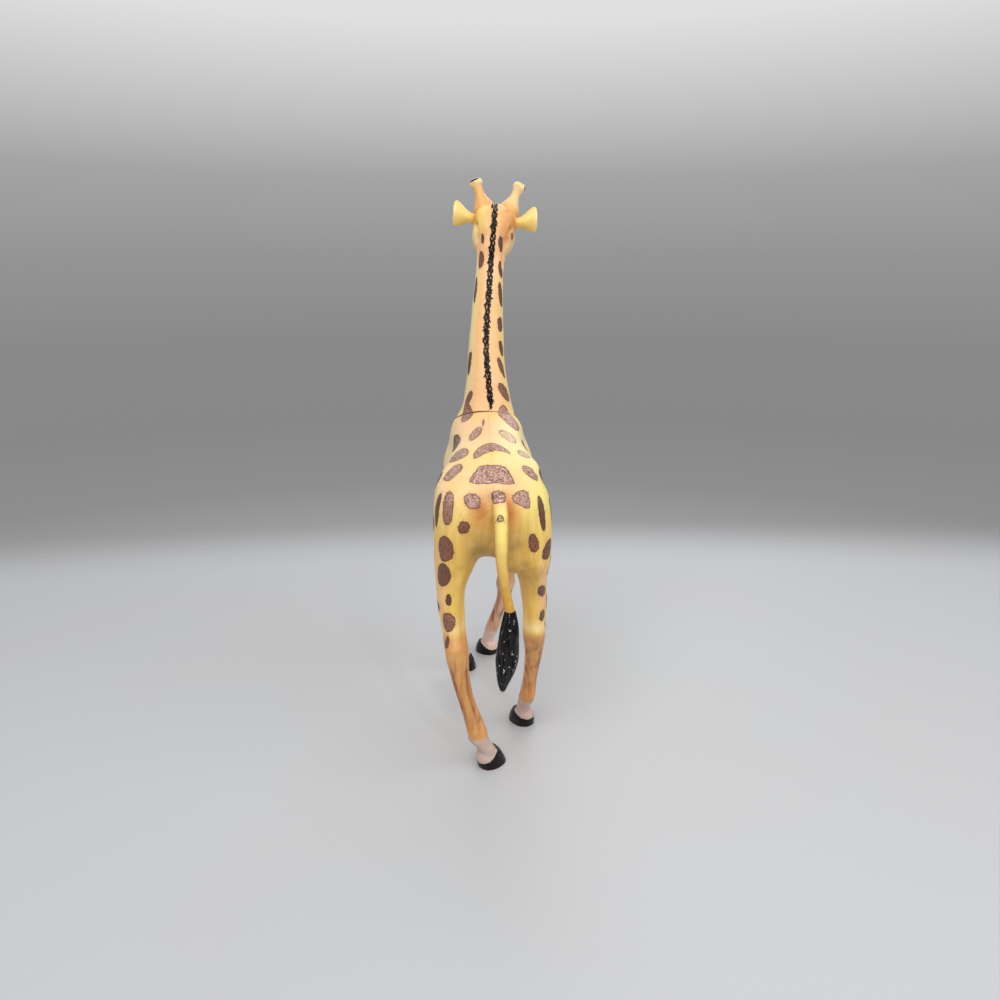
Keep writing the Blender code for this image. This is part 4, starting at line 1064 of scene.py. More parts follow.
@dataclass(frozen=True)
class BlackFinish:
    """Gloss black paint, brushed on, on hair and eyes."""

    name: str
    grain: float = 0.3
    chips: float = 0.35
    gloss: float = 0.0
    shine: float = 0.5
    worn_below: float = -1.0

    def build(self, effects: dict[str, Tree]) -> Material:
        """Make the material."""
        bench = Coating(self.name)
        height = bench.add("ShaderNodeSeparateXYZ", {0: bench.coords("Object")}).outputs[2]
        ragged = bench.plus(height, bench.times(bench.noise(900), 0.001))
        cover = bench.step(ragged, self.worn_below * MM, (self.worn_below + 1.0) * MM)
        wear = bench.group(effects["wear"], {"Plastic": Paint.CHIP, "Cover": cover, "Chips and glints": self.chips})
        grain = bench.group(effects["grain"], {"Depth": self.grain})
        return bench.finish({"Base Color": wear.outputs["Color"], "Roughness": wear.outputs["Roughness"],
                             "Normal": grain.outputs["Normal"], "Coat Weight": self.gloss,
                             "Specular IOR Level": self.shine})


@dataclass(frozen=True)
class BareFinish:
    """Unpainted plastic inside the figure."""

    name: str

    def build(self, effects: dict[str, Tree]) -> Material:
        """Make the material."""
        bench = Coating(self.name)
        rubbed = bench.step(bench.noise(900, 3), 0.5, 0.8, (0, 0.35))
        grain = bench.group(effects["grain"], {"Depth": 0.08})
        return bench.finish({"Base Color": bench.mix(Paint.BARE, Paint.BONE, rubbed),
                             "Roughness": bench.step(bench.noise(700), 0.3, 0.7, (0.4, 0.55)),
                             "Normal": grain.outputs["Normal"]})


class Coat:
    """Tint and other painted values at the points of a skin."""

    def __init__(self, flesh: Flesh) -> None:
        """Start with plain yellow and no spots."""
        self.points, self.normals, self.quads = flesh.points, flesh.normals(), flesh.quads
        count = len(self.points)
        self.tint = np.tile(linear(Paint.YELLOW.value), (count, 1))
        self.fields: Fields = {name: np.zeros(count) for name in ("streak", "sheen", "tone")}
        self.fields |= {name: np.full(count, CLEAR) for name in ("spot", "black")}

    def spray(self, paint: Paint, mask: Array) -> None:
        """Lay a colour over the tint by a mask."""
        mask = np.clip(mask, 0, 1)[:, None]
        self.tint = self.tint * (1 - mask) + linear(paint.value) * mask

    def lay(self, region: Array | float, *layers: tuple[Paint, Array]) -> None:
        """Spray colours one after the other within a region."""
        for paint, mask in layers:
            self.spray(paint, region * mask)

    def body(self) -> Body:
        """Body of the skin with every painted value, tint and normals among them."""
        painted = zip(TINT_FIELDS + NORMAL_FIELDS, (*self.tint.T, *self.normals.T))
        return as_body(self.points, [tuple(quad) for quad in self.quads.tolist()],
                       self.fields | dict(painted))


CAMERA_PLACE = np.array((-21.2, -579.6, 339.0))

# Middle of the neck's seam, and how steeply the seam falls to the front
SEAM: Triple = (0.0, 30.0, 231.5)
SEAM_SLOPE = 0.466

# Line of the mouth in the head's own frame, and the crease left of the tail's root
MOUTH: tuple[Triple, ...] = ((0.0, 80.5, -6.4), (5.5, 77.8, -6.6), (8.0, 71.0, -6.0), (8.8, 63.0, -5.2))
CREASE: tuple[Triple, ...] = ((-0.5, -101.0, 194.5), (-5.0, -101.0, 191.0), (-9.5, -100.0, 187.0))

# Bumps on the legs: height share, heading from the toe in degrees, radius, push
HIND_KNOBS: Rows = (
    (0.645, 180, 5, 1.7), (0.61, 90, 5, -0.5), (0.61, 270, 5, -0.5), (0.56, 10, 5, 0.5),
    (0.205, 180, 4.2, 1.2), (0.19, 0, 5, 0.6), (0.155, 150, 2.3, 1), (0.155, 210, 2.3, 1),
    (0.11, 180, 4, -0.8), (0.095, 90, 4, 0.4), (0.095, 270, 4, 0.4), (0.92, 15, 12, 1),
)
FORE_KNOBS: Rows = (
    (0.575, 0, 5.5, 1.5), (0.56, 90, 4, 0.6), (0.56, 270, 4, 0.6), (0.60, 180, 4, 0.8),
    (0.49, 180, 4.5, -0.6), (0.225, 180, 4, 1.1), (0.20, 0, 5, 0.5), (0.165, 150, 2.3, 0.9),
    (0.165, 210, 2.3, 0.9), (0.12, 180, 4, -0.7), (0.93, 180, 8, 1.2),
)
# Grooves and ridges down the legs: upper and lower height share, heading, radius, push
HIND_LINES: Rows = (
    (0.82, 0.69, 128, 3.2, -1.1), (0.82, 0.69, 232, 3.2, -1.1), (0.53, 0.27, 132, 2, -0.8),
    (0.53, 0.27, 228, 2, -0.8), (0.54, 0.24, 0, 2.6, 0.4), (1, 0.80, 196, 4, -0.8),
    (0.98, 0.74, 60, 4, -0.5),
)
FORE_LINES: Rows = (
    (0.50, 0.29, 130, 2, -0.7), (0.50, 0.29, 230, 2, -0.7), (0.90, 0.66, 60, 3.5, -0.7),
    (0.90, 0.66, 300, 3.5, -0.7), (0.52, 0.26, 0, 2.5, 0.4),
)


@dataclass
class Limb:
    """One leg with its muscle and hoof."""

    name: str
    side: int
    hind: bool
    seat: float
    toe: tuple[float, float]
    path: Rows
    tan_from: float = 100.0
    swing: float = 30.0
    cuff: float = 11.7
    slope: float = 0.50
    hoof_height: float = 11.3
    hoof_width: float = 8.7
    hoof_length: float = 11.2
    slim: float = 0.0

    def __post_init__(self) -> None:
        """Take the sizes of a hind or a fore leg."""
        self.seat_height, self.spread, self.rise = (150.0, 27.0, 64.0) if self.hind else (136.0, 19.0, 76.0)
        self.half_width, self.half_depth = (15.5, 24.0) if self.hind else (12.5, 17.0)
        self.form, self.muscle = (HIND_FORM, HAUNCH) if self.hind else (FORE_FORM, SHOULDER)
        self.forward = np.array((*unit((*self.toe, 0.0))[:2], 0.0))

    def centre(self, share: float) -> Array:
        """Middle of the leg at a share of the seat height."""
        side, forward = read_rows(self.path, min(max(share, 0.0), 1.0))[0]
        return np.array((self.side * self.spread * side, self.seat + self.swing * forward,
                         self.seat_height * share))

    def ring(self, share: float, sides: int = 36) -> Array:
        """Section of the leg."""
        width, depth = read_rows(self.form, share)[0]
        width *= 1 - self.slim * float(ease(share, 0.50, 0.15))
        return section(self.centre(share), X * self.half_width * width, Y * self.half_depth * depth,
                       2.1, sides)

    def muscle_ring(self, share: float, sides: int = 36) -> Array:
        """Section of the haunch or shoulder."""
        side, forward, width, depth = read_rows(self.muscle, share)[0]
        centre = np.array((self.side * self.spread * side, self.seat + self.half_depth * forward,
                           self.seat_height + self.rise * share))
        return section(centre, X * self.half_width * width, Y * self.half_depth * depth, 2.1, sides)

    def hoof_ring(self, height: float, sides: int = 36) -> Array:
        """Section of the hoof at a height; it goes on below the floor, where it is cut."""
        share = min(max(height / 11.0, 0.0), 1.0)
        width, length, back = read_rows(HOOF_FORM, share)[0]
        foot, top = self.centre(0.0), self.centre(11.0 / self.seat_height)
        centre = foot + (top - foot) * share + self.forward * self.hoof_length * back * (1 - share)
        centre[2] = height
        across = np.cross(self.forward, Z)
        return section(centre, across * self.hoof_width * width, self.forward * self.hoof_length * length,
                       2.3, sides)

    def solids(self) -> list[Solid]:
        """Hoof and leg as lofts."""
        hoof = [self.hoof_ring(height) for height in np.linspace(-4.0, 12.0, 17)]
        leg = [self.ring(share) for share in np.linspace(8.0 / self.seat_height, 1.0, 56)]
        leg += [self.muscle_ring(share) for share in np.linspace(0.04, 1.0, 22)]
        return [loft(hoof), loft(leg)]

    def spot_on(self, share: float, heading: float) -> Triple:
        """Point on the leg's skin at a height and heading."""
        turn = math.atan2(self.toe[0], self.toe[1]) * (1 - float(ease(share, 0.10, 0.35)))
        angle = turn + self.side * math.radians(heading)
        width, depth = read_rows(self.form, share)[0]
        centre = self.centre(share)
        return tuple(centre + X * math.sin(angle) * self.half_width * width
                     + Y * math.cos(angle) * self.half_depth * depth)

    def lines(self) -> list[Furrow]:
        """Grooves and ridges down the leg."""
        return [Furrow(tuple(self.spot_on(share, heading) for share in np.linspace(high, low, 9)),
                       radius, push)
                for high, low, heading, radius, push in (HIND_LINES if self.hind else FORE_LINES)]

    def features(self) -> list[Feature]:
        """Joints, tendons and muscles of the leg, and the cleft of the hoof."""
        knobs = [Swell(self.spot_on(share, heading), (radius,) * 3, push)
                 for share, heading, radius, push in (HIND_KNOBS if self.hind else FORE_KNOBS)]
        front = self.hoof_ring(1.0).mean(axis=0) + self.forward * (self.hoof_length + 0.5)
        cleft = Furrow((tuple(front), tuple(front * (1, 1, 0) + Z * 13 - self.forward * 4.5)), 1.5, -1.5)
        return [*knobs, *self.lines(), cleft]

    def near(self, points: Array) -> Array:
        """1 on the points of this leg, 0 on other legs."""
        share = np.clip(points[:, 2] / self.seat_height, 0, 1)
        side, forward = read_rows(self.path, share).T
        off = np.hypot(points[:, 0] - self.side * self.spread * side,
                       points[:, 1] - self.seat - self.swing * forward)
        return ease(off, 26, 20)

    def paint(self, coat: Coat) -> None:
        """Colours of the leg from the thigh down to the hoof."""
        points, mine = coat.points, self.near(coat.points)
        z = points[:, 2]
        upper = self.tan_from
        coat.lay(mine,
            (Paint.GOLD, ease(z, 150, 110) * 0.6),
            (Paint.CREAM, np.exp(-((z - upper - 1) / 5) ** 2) * 0.45),
            (Paint.TAN, ease(z, upper, upper - 9) * 0.92),
            (Paint.HORN, ease(z, upper - 6, upper - 20) * ease(z, 28, 48) * 0.35))
        if not self.hind:
            coat.lay(mine,
                (Paint.STREAK, ease(z, 140, 100) * ease(z, 78, 92) * 0.25),
                # SHEEN low on the fore shanks is painted light against the shade under the body.
                (Paint.SHEEN, ease(z, 90, 74) * 0.55))
        grooves = sum(Furrow(line.line, 2.3, 1).height(points) for line in self.lines() if line.push < 0)
        shank = mine * ease(z, 98, 84) * ease(z, 27, 36)
        coat.spray(Paint.STREAK, shank * grooves * 0.70)
        # The fore pasterns' CREST is partly their pale paint and partly painted light against the shade under
        # the body.
        coat.spray(Paint.BONE if self.hind else Paint.CREST, mine * ease(z, 28.5, 23.5) * 0.95)
        if self.hind:
            coat.spray(Paint.PEACH, mine * ease(coat.normals[:, 0] * self.side, 0, 0.7) * ease(z, 100, 118)
                       * ease(z, 180, 150) * 0.55)
        coat.fields["streak"] = np.maximum(coat.fields["streak"], shank * np.clip(0.45 + grooves, 0, 1))
        foot = self.centre(0.0)
        along = (points - foot) @ self.forward
        coronet = np.maximum((z - self.cuff - self.slope * along) * 0.94, (0.3 - z) * 1.4)
        coat.fields["black"] = np.where((mine > 0) & (z < 30), np.minimum(coat.fields["black"], coronet),
                                        coat.fields["black"])


@dataclass
class Neck:
    """Neck and nape, above the seam where it turns."""

    seam: Triple = SEAM
    seam_tilt: float = 25.0
    rise: float = 124.5
    lean: float = 27.0
    sway: float = 4.3
    half_width: float = 24.5
    half_depth: float = 28.0

    def axis(self) -> Array:
        """Direction of the neck's turning axis."""
        tilt = math.radians(self.seam_tilt)
        return np.array((0.0, math.sin(tilt), math.cos(tilt)))

    def ring(self, share: float, sides: int = 44) -> Array:
        """Section of the neck."""
        sway, lean, width, depth, tilt = read_rows(NECK_SHARES, max(share, 0.0))[0]
        angle = math.radians(self.seam_tilt * tilt)
        centre = np.array(self.seam) + (self.sway * sway, self.lean * lean, self.rise * share)
        along = (Y * math.cos(angle) - Z * math.sin(angle)) * self.half_depth * depth
        return section(centre, X * self.half_width * width, along, 2.1, sides)

    def nape_ring(self, share: float, sides: int = 44) -> Array:
        """Section of the nape, which runs up into the skull."""
        sway, lean, width, depth = read_rows(NAPE_SHARES, share)[0]
        top = self.ring(1.0, sides)
        middle = top.mean(axis=0)
        turned = (top - middle) * (width, depth, depth)
        return middle + (2.8 * sway, 6.0 * lean, 26.0 * share) + turned

    def solids(self) -> list[Solid]:
        """Neck and nape as one loft."""
        foot = self.ring(0.0)
        rings = [foot - self.axis() * 12.0, foot - self.axis() * 5.0]
        rings += [self.ring(share) for share in np.linspace(0.0, 1.0, 60)]
        rings += [self.nape_ring(share) for share in np.linspace(0.1, 1.0, 12)]
        return [loft(rings)]

    def drift(self, heights: Array) -> Array:
        """Sideways place of the neck's middle at these heights."""
        share = np.clip((heights - self.seam[2]) / self.rise, 0, 1)
        return self.sway * read_rows(NECK_SHARES, share)[:, 0]

    def planes(self) -> tuple[Plane, Plane, Plane]:
        """Deck of the trunk, foot of the neck, and the joint under the skull."""
        deck = Plane(np.array(self.seam) - self.axis() * 0.12, self.axis())
        foot = Plane(np.array(self.seam) + self.axis() * 0.50, unit(self.axis() + X * 0.02))
        angle = math.radians(self.seam_tilt * 0.68)
        nape = Plane(self.ring(1.0).mean(axis=0), np.array((0.0, math.sin(angle), math.cos(angle))))
        return deck, foot, nape


@dataclass
class Head:
    """Skull, cheeks and muzzle, with the seats of ears, horns and eyes."""

    back: Triple = (6.2, 47.0, 385.5)
    yaw: float = -4.0
    pitch: float = -17.0
    roll: float = 7.5
    length: float = 80.0
    half_width: float = 17.0
    half_depth: float = 20.0

    def __post_init__(self) -> None:
        """Work out the turn of the head."""
        self.turn = np.array(Matrix.Rotation(math.radians(self.yaw), 3, "Z")
                             @ Matrix.Rotation(math.radians(self.pitch), 3, "X")
                             @ Matrix.Rotation(math.radians(self.roll), 3, "Y"))

    def point(self, side: float, forward: float, rise: float) -> Array:
        """World place of a point of the head."""
        return np.array(self.back) + self.turn @ np.array((side, forward, rise))

    def local(self, points: Array) -> Array:
        """Points in the head's own frame: side, forward, rise."""
        return (points - np.array(self.back)) @ self.turn

    def solids(self) -> list[Solid]:
        """Head as a loft, with mounds for ears and horns."""
        rings = []
        for share in spaced(44):
            rise, width, depth = read_rows(HEAD_SHARES, share)[0]
            rings.append(section(self.point(0.0, self.length * share, self.half_depth * rise),
                                 self.turn @ X * self.half_width * width,
                                 self.turn @ Z * self.half_depth * depth, 2.15, 40))
        mounds = []
        for side in (-1, 1):
            mounds.append(egg(self.point(side * 9.8, 20.5, 12), (8, 8.5, 10), self.turn))
            mounds.append(egg(self.point(side * 12.2, 16, 6.5), (5.7, 6, 7.5), self.turn))
            mounds.append(egg(self.point(side * 8.5, 11.5, 9), (7.3, 8, 8.5), self.turn))
            mounds.append(egg(self.point(side * 5.8, 19, 17), (4.2, 5.5, 7), self.turn))
        mounds.append(egg(self.point(0, 35, 13), (6, 9, 6), self.turn))
        mounds.append(egg(self.point(0, 16, 12.5), (12, 9.8, 9.6), self.turn))
        return [loft(rings), *mounds]

    def broad_features(self) -> list[Feature]:
        """Cheeks, brows and hollows, in the head's own frame."""
        one_side: list[Feature] = [
            Swell((12.5, 23, -8), (5, 10, 8), 1.3),
            Swell((9.5, 47, -5), (5, 9, 5), -1.2),
            Swell((7, 48, 9), (4.5, 9, 4), -0.9),
            Furrow(((9, 25, 11.5), (13.5, 32, 10), (12.5, 41, 6.5)), 3.4, 1.6),
            Furrow(((15, 28, 0), (12.5, 42, -2.5), (9, 54, -4)), 2.8, 0.9),
            Furrow(((11, 14, -13), (9, 30, -16.5), (6, 46, -13)), 3, 0.8),
            Furrow(((12, 14, -28), (12.7, 11, -18), (13.2, 9, -5), (13, 10, 0)),
                   2.6, -4.6),
        ]
        middle: list[Feature] = [
            Swell((0, 72, -12), (6, 6.5, 4), 1.8), Swell((0, 34, 16), (5, 8, 5), 1.2),
            Swell((0, 33, -20), (4, 14, 5), -1.6),
            Swell((0, 17, 20), (4.5, 12, 6), -0.3),
        ]
        return [*both_sides(one_side), *middle]

    def fine_features(self) -> list[Feature]:
        """Eye sockets, lids, nostrils and lips, in the head's own frame."""
        eye = (14.2, 33.0, 5.5)
        upper = tuple((14.2 - 0.6 * abs(t) ** 2, 33.0 + 4.6 * t, 5.6 + 3.6 * (1 - t * t) - 0.6 * t)
                      for t in np.linspace(-1, 1, 7))
        lower = tuple((14.6 - 0.6 * abs(t) ** 2, 33.0 + 4.4 * t, 5.2 - 3.2 * (1 - t * t) - 0.6 * t)
                      for t in np.linspace(-1, 1, 7))
        one_side: list[Feature] = [
            Swell(eye, (3.6, 4.2, 3.1), -2.6), Furrow(upper, 1.25, 1.7), Furrow(lower, 1.1, 1.1),
            Furrow(tuple((x, y, z + 2.6) for x, y, z in upper), 0.9, -0.5),
            Furrow(((4.6, 78.4, -0.6), (6.2, 76, 1.4), (7.2, 72.5, 0.8)), 1.25, -2.9),
            Furrow(((4, 78.6, 1.6), (6, 75.4, 3.6), (8, 71.4, 2.6)), 1.3, 1),
            Furrow(MOUTH, 0.85, -1.1),
            Furrow(((0, 79, -8.4), (5, 76, -8.6), (7.6, 70, -8)), 1.5, 0.5),
            Furrow(((0, 80, -4.4), (5.5, 77.5, -4.6), (8.2, 71, -4)), 1.5, 0.5),
            Furrow(((14, 36.5, 2), (12, 44, -1)), 1.2, -0.35),
        ]
        return [*both_sides(one_side), Furrow(((0, 80.5, -4), (0, 79, 2)), 0.9, -0.4)]

    def paint(self, coat: Coat) -> None:
        """Rosy cheeks, pale muzzle and dark lines round eyes, nostrils and mouth."""
        spot = self.local(coat.points)
        here = ease(coat.points[:, 2], 350, 362)
        side, forward, rise = np.abs(spot[:, 0]), spot[:, 1], spot[:, 2]
        coat.lay(here,
            (Paint.ROSE, np.exp(-((forward - 30) / 12) ** 2) * ease(rise, 8, -6) * 0.8),
            (Paint.CREAM, ease(forward, 46, 66) * 0.75),
            (Paint.TAN, ease(forward, 66, 77) * 0.55),
            (Paint.PEACH, ease(forward, 24, 8) * 0.9),
            (Paint.HORN, ease(coat.points[:, 2], 366, 388) * ease(forward, 30, 20) * 0.7),
            (Paint.CHEEK, ease(side, 11, 14.5) * ease(rise, 4, -3) * ease(forward, 6, 10)
             * ease(forward, 40, 26) * 0.85),
            (Paint.ORANGE, ease(np.abs(spot[:, 0] - 1), 2, 8) * ease(coat.points[:, 2], 366, 376)
             * ease(forward, 24, 14) * np.where(spot[:, 0] > 0, 0.48, 0)),
            (Paint.LEMON, ease(spot[:, 0], -2.5, -10) * ease(coat.points[:, 2], 372, 384)
             * ease(forward, 26, 16) * 0.42))
        sided = np.column_stack([side, forward, rise])
        # A darker orange line in the groove behind the cheeks is painted shade.
        behind = Furrow(((12, 14, -28), (12.5, 11, -18), (13.5, 8, -5), (13, 10, 2)),
                        1, 1)
        shade = behind.distance(sided)
        coat.spray(Paint.ORANGE, here * np.exp(-(shade / 1.7) ** 2) * 0.65)
        corner = np.linalg.norm((coat.points - (21.8, 57.3, 376.4)) / (1.4, 2.0, 2.8), axis=1)
        coat.spray(Paint.DARK_SPOT, ease(corner, 1.25, 0.8) * 0.95)
        root = np.hypot(np.hypot(side - 7.5, forward - 21.0), (rise - 14.0) * 0.5)
        coat.spray(Paint.HORN, here * ease(root, 15, 5.5) * 0.9)
        lobe = np.hypot(np.hypot(side - 14.0, forward - 14.0), rise - 7.0)
        coat.spray(Paint.ORANGE, here * ease(lobe, 7.5, 3) * 0.7)
        dark = np.hypot(np.hypot((side - 14.2) * 0.7, forward - 33), (rise - 5.5) * 1.15)
        coat.spray(Paint.DARK_SPOT, here * ease(dark, 6, 3.4) * 0.85)
        nostril = np.hypot(np.hypot(side - 6.2, (forward - 75.6) * 0.7), rise - 0.6)
        coat.spray(Paint.DARK_SPOT, here * ease(nostril, 2.6, 1.1) * 0.95)
        line = Furrow(MOUTH, 1, 1).distance(sided)
        coat.spray(Paint.OUTLINE, here * ease(line, 1.6, 0.6) * 0.8)


@dataclass
class Trunk:
    """Barrel of the body, between the legs and the neck."""

    length: float = 169.0
    rear: float = -101.0
    base: float = 136.0
    depth: float = 110.0
    half_width: float = 38.5

    def solids(self) -> list[Solid]:
        """Barrel as a loft, with the mound at the tail's root."""
        rings = []
        for share in spaced(64):
            top, bottom, width = read_rows(TRUNK_SHARES, share)[0]
            centre = (0.0, self.rear + self.length * share, self.base + self.depth * (top + bottom) / 2)
            rings.append(section(np.array(centre), X * self.half_width * width,
                                 Z * self.depth * (top - bottom) / 2, 2.35, 60))
        return [loft(rings), egg((2, -86, 203), (8.5, 14, 7)),
                egg((13, -84, 156), (10, 12, 14))]

    def features(self) -> list[Feature]:
        """Muscles, hollows and creases of the body."""
        one_side: list[Feature] = [
            Swell((26, -84, 184), (13, 14, 24), 1.4),
            Swell((10, -98, 193), (5, 8, 13), -2.4),
            Swell((38, -32, 176), (12, 14, 26), -1.8),
            Swell((29, -56, 210), (9, 10, 7), 1.2),
            Swell((33, 24, 198), (12, 16, 28), 1.6),
            Swell((36, 0, 186), (10, 6, 26), -1.2),
            Swell((29, -16, 222), (12, 16, 10), -1.3),
            Swell((36, -78, 200), (12, 18, 12), 1.5),
            Furrow(((38, -62, 186), (40, -66, 168), (38, -72, 152)), 5, -0.9),
            Furrow(((34, 6, 168), (33, 14, 182), (30, 22, 204)), 4.5, -0.9),
            Furrow(((16, 56, 200), (20, 52, 178), (17, 50, 158)), 4, -0.8),
            Furrow(((20, -101, 176), (24, -100, 160), (26, -98, 146)), 3.5, -0.8),
        ]
        middle: list[Feature] = [
            Furrow(((0, -78, 215), (0, -50, 226), (0, -20, 236)), 4.5, 0.5),
            Furrow(((0, -101, 186), (0, -98, 172)), 4, -1.6),
            Furrow(CREASE, 1.5, -0.5),
            Swell((-37, -66, 206), (10, 14, 9), 2.8),
            Swell((-43, -86, 168), (9, 22, 22), -1.5),
            Swell((-22, -2, 235), (10, 12, 6), 0.3),
            Swell((33, 0, 221), (9, 26, 8), -1.6),
            Swell((32, -54, 217), (8, 14, 9), 2.3),
            Swell((-35, -2, 217), (9, 28, 10), -2.1),
            Swell((-34, 14, 214), (9, 22, 11), -2.2),
            Swell((33, 12, 219), (9, 20, 12), -2.4),
            Swell((-25.5, 30, 236), (7, 16, 7), 1.5),
            Furrow(((0, 68, 200), (0, 66, 165)), 4, -0.8),
        ]
        return [*both_sides(one_side), *middle]

    def paint(self, coat: Coat) -> None:
        """Peach back, lemon flanks, orange hollows and pale belly; the orange hollows, gold and ochre low
        down and between the thighs, olive beside the tail and the dark crease are painted shade, and cream on
        the flank and shoulder edges is painted light.
        """
        x, y, z = coat.points.T
        nx, ny, nz = coat.normals.T
        body = ease(z, 120, 150)
        spine = np.exp(-(x / 22) ** 2) * ease(nz, -0.1, 0.7) * body
        coat.lay(body,
            (Paint.LEMON, ease(nx, 0.15, 0.75) * ease(z, 150, 200) * 0.85),
            # Lemon on the left-facing side and cream on the left flank's upper edge are painted light.
            (Paint.LEMON, ease(-nx, 0.3, 0.9) * 0.30),
            (Paint.CREAM, ease(-nx, 0.35, 0.8) * ease(z, 180, 203) * 0.9))
        coat.spray(Paint.PEACH, spine * 0.65)
        coat.spray(Paint.PEACH, body * ease(-nx, 0.1, 0.6) * ease(z, 176, 200) * ease(z, 232, 222) * 0.45)
        coat.spray(Paint.CREAM, spine * ease(y, -103, -84) * 0.55)
        coat.lay(body,
            # Gold low on the hindquarters is painted shade.
            (Paint.GOLD, ease(z, 195, 160) * ease(np.abs(x), 8, 24) * 0.7),
            (Paint.LEMON, ease(z, 190, 140) * ease(nx, 0.2, 0.8) * 0.35))
        coat.spray(Paint.CREAM, ease(-nz, 0.3, 0.9) * ease(z, 130, 140) * 0.7)
        # Orange in the hollows beside the tail's root is painted shade.
        for side in (-1, 1):
            hollow = Swell((side * 9, -98, 193), (7, 12, 15), 1).height(coat.points)
            coat.spray(Paint.ORANGE, hollow * (1.15 if side > 0 else 0.95))
        # Gold on the inner thighs, and ochre under the rump and between the thighs, are painted shade.
        inner = ease(-nx * np.sign(x), 0.1, 0.7) * ease(z, 95, 110) * ease(z, 200, 170)
        coat.lay(1,
            (Paint.GOLD, inner * 0.8),
            (Paint.OCHRE, ease(-nz, 0.05, 0.6) * ease(y, -60, -90) * ease(z, 190, 165) * ease(z, 120, 140)
             * 0.6),
            (Paint.OCHRE, ease(-ny, 0.3, 0.9) * ease(np.abs(x), 30, 14) * ease(z, 196, 176)
             * ease(z, 130, 150) * 0.45),
            (Paint.PEACH, Swell((-2, -84, 210), (24, 14, 14), 0.6).height(coat.points)),
            (Paint.YELLOW, Swell((0, -60, 222), (20, 22, 14), 0.80).height(coat.points)))
        # Cream on the side-facing shoulders is painted light.
        coat.spray(Paint.CREAM, body * ease(np.abs(nx), 0.25, 0.7) * ease(z, 200, 218) * 0.75)
        strokes = ease(-ny, 0.2, 0.7) * ease(z, 196, 186) * ease(z, 110, 130)
        coat.fields["streak"] = np.maximum(coat.fields["streak"], 0.16 * strokes)
        coat.spray(Paint.PEACH, ease(z, 222, 234) * ease(x, 14, -2) * ease(nz, 0.2, 0.6) * 0.6)
        # Olive low beside the tail is painted shade.
        for side, share in ((-1, 0.6), (1, 0.4)):
            shade = Swell((side * 9, -97, 163), (9, 14, 15), share).height(coat.points)
            coat.spray(Paint.OLIVE, shade)
        # The dark line along the crease left of the tail's root is painted shade.
        coat.spray(Paint.STREAK, Furrow(CREASE, 0.9, 0.7).height(coat.points))


def over_seam(points: Array) -> Array:
    """How far points lie above the neck's seam, measured upright."""
    _, y, z = points.T
    return z - SEAM[2] + (y - SEAM[1]) * SEAM_SLOPE


def spot_size(points: Array) -> Array:
    """Radius of a spot on each region of the skin, or 0 where there are none."""
    z = points[:, 2]
    size = np.full(len(points), 8.6)
    size = np.where(z < 160, 6.4, size)
    size = np.where(z < 132, 4.4, size)
    size = np.where(z < 112, 3.2, size)
    neck = over_seam(points) > 0
    size = np.where(neck, 6.6 - 3.4 * ease(z, 235, 355), size)
    size = np.where(neck & (z > 352), 2.6, size)
    return np.where(z < 97, 0.0, size)


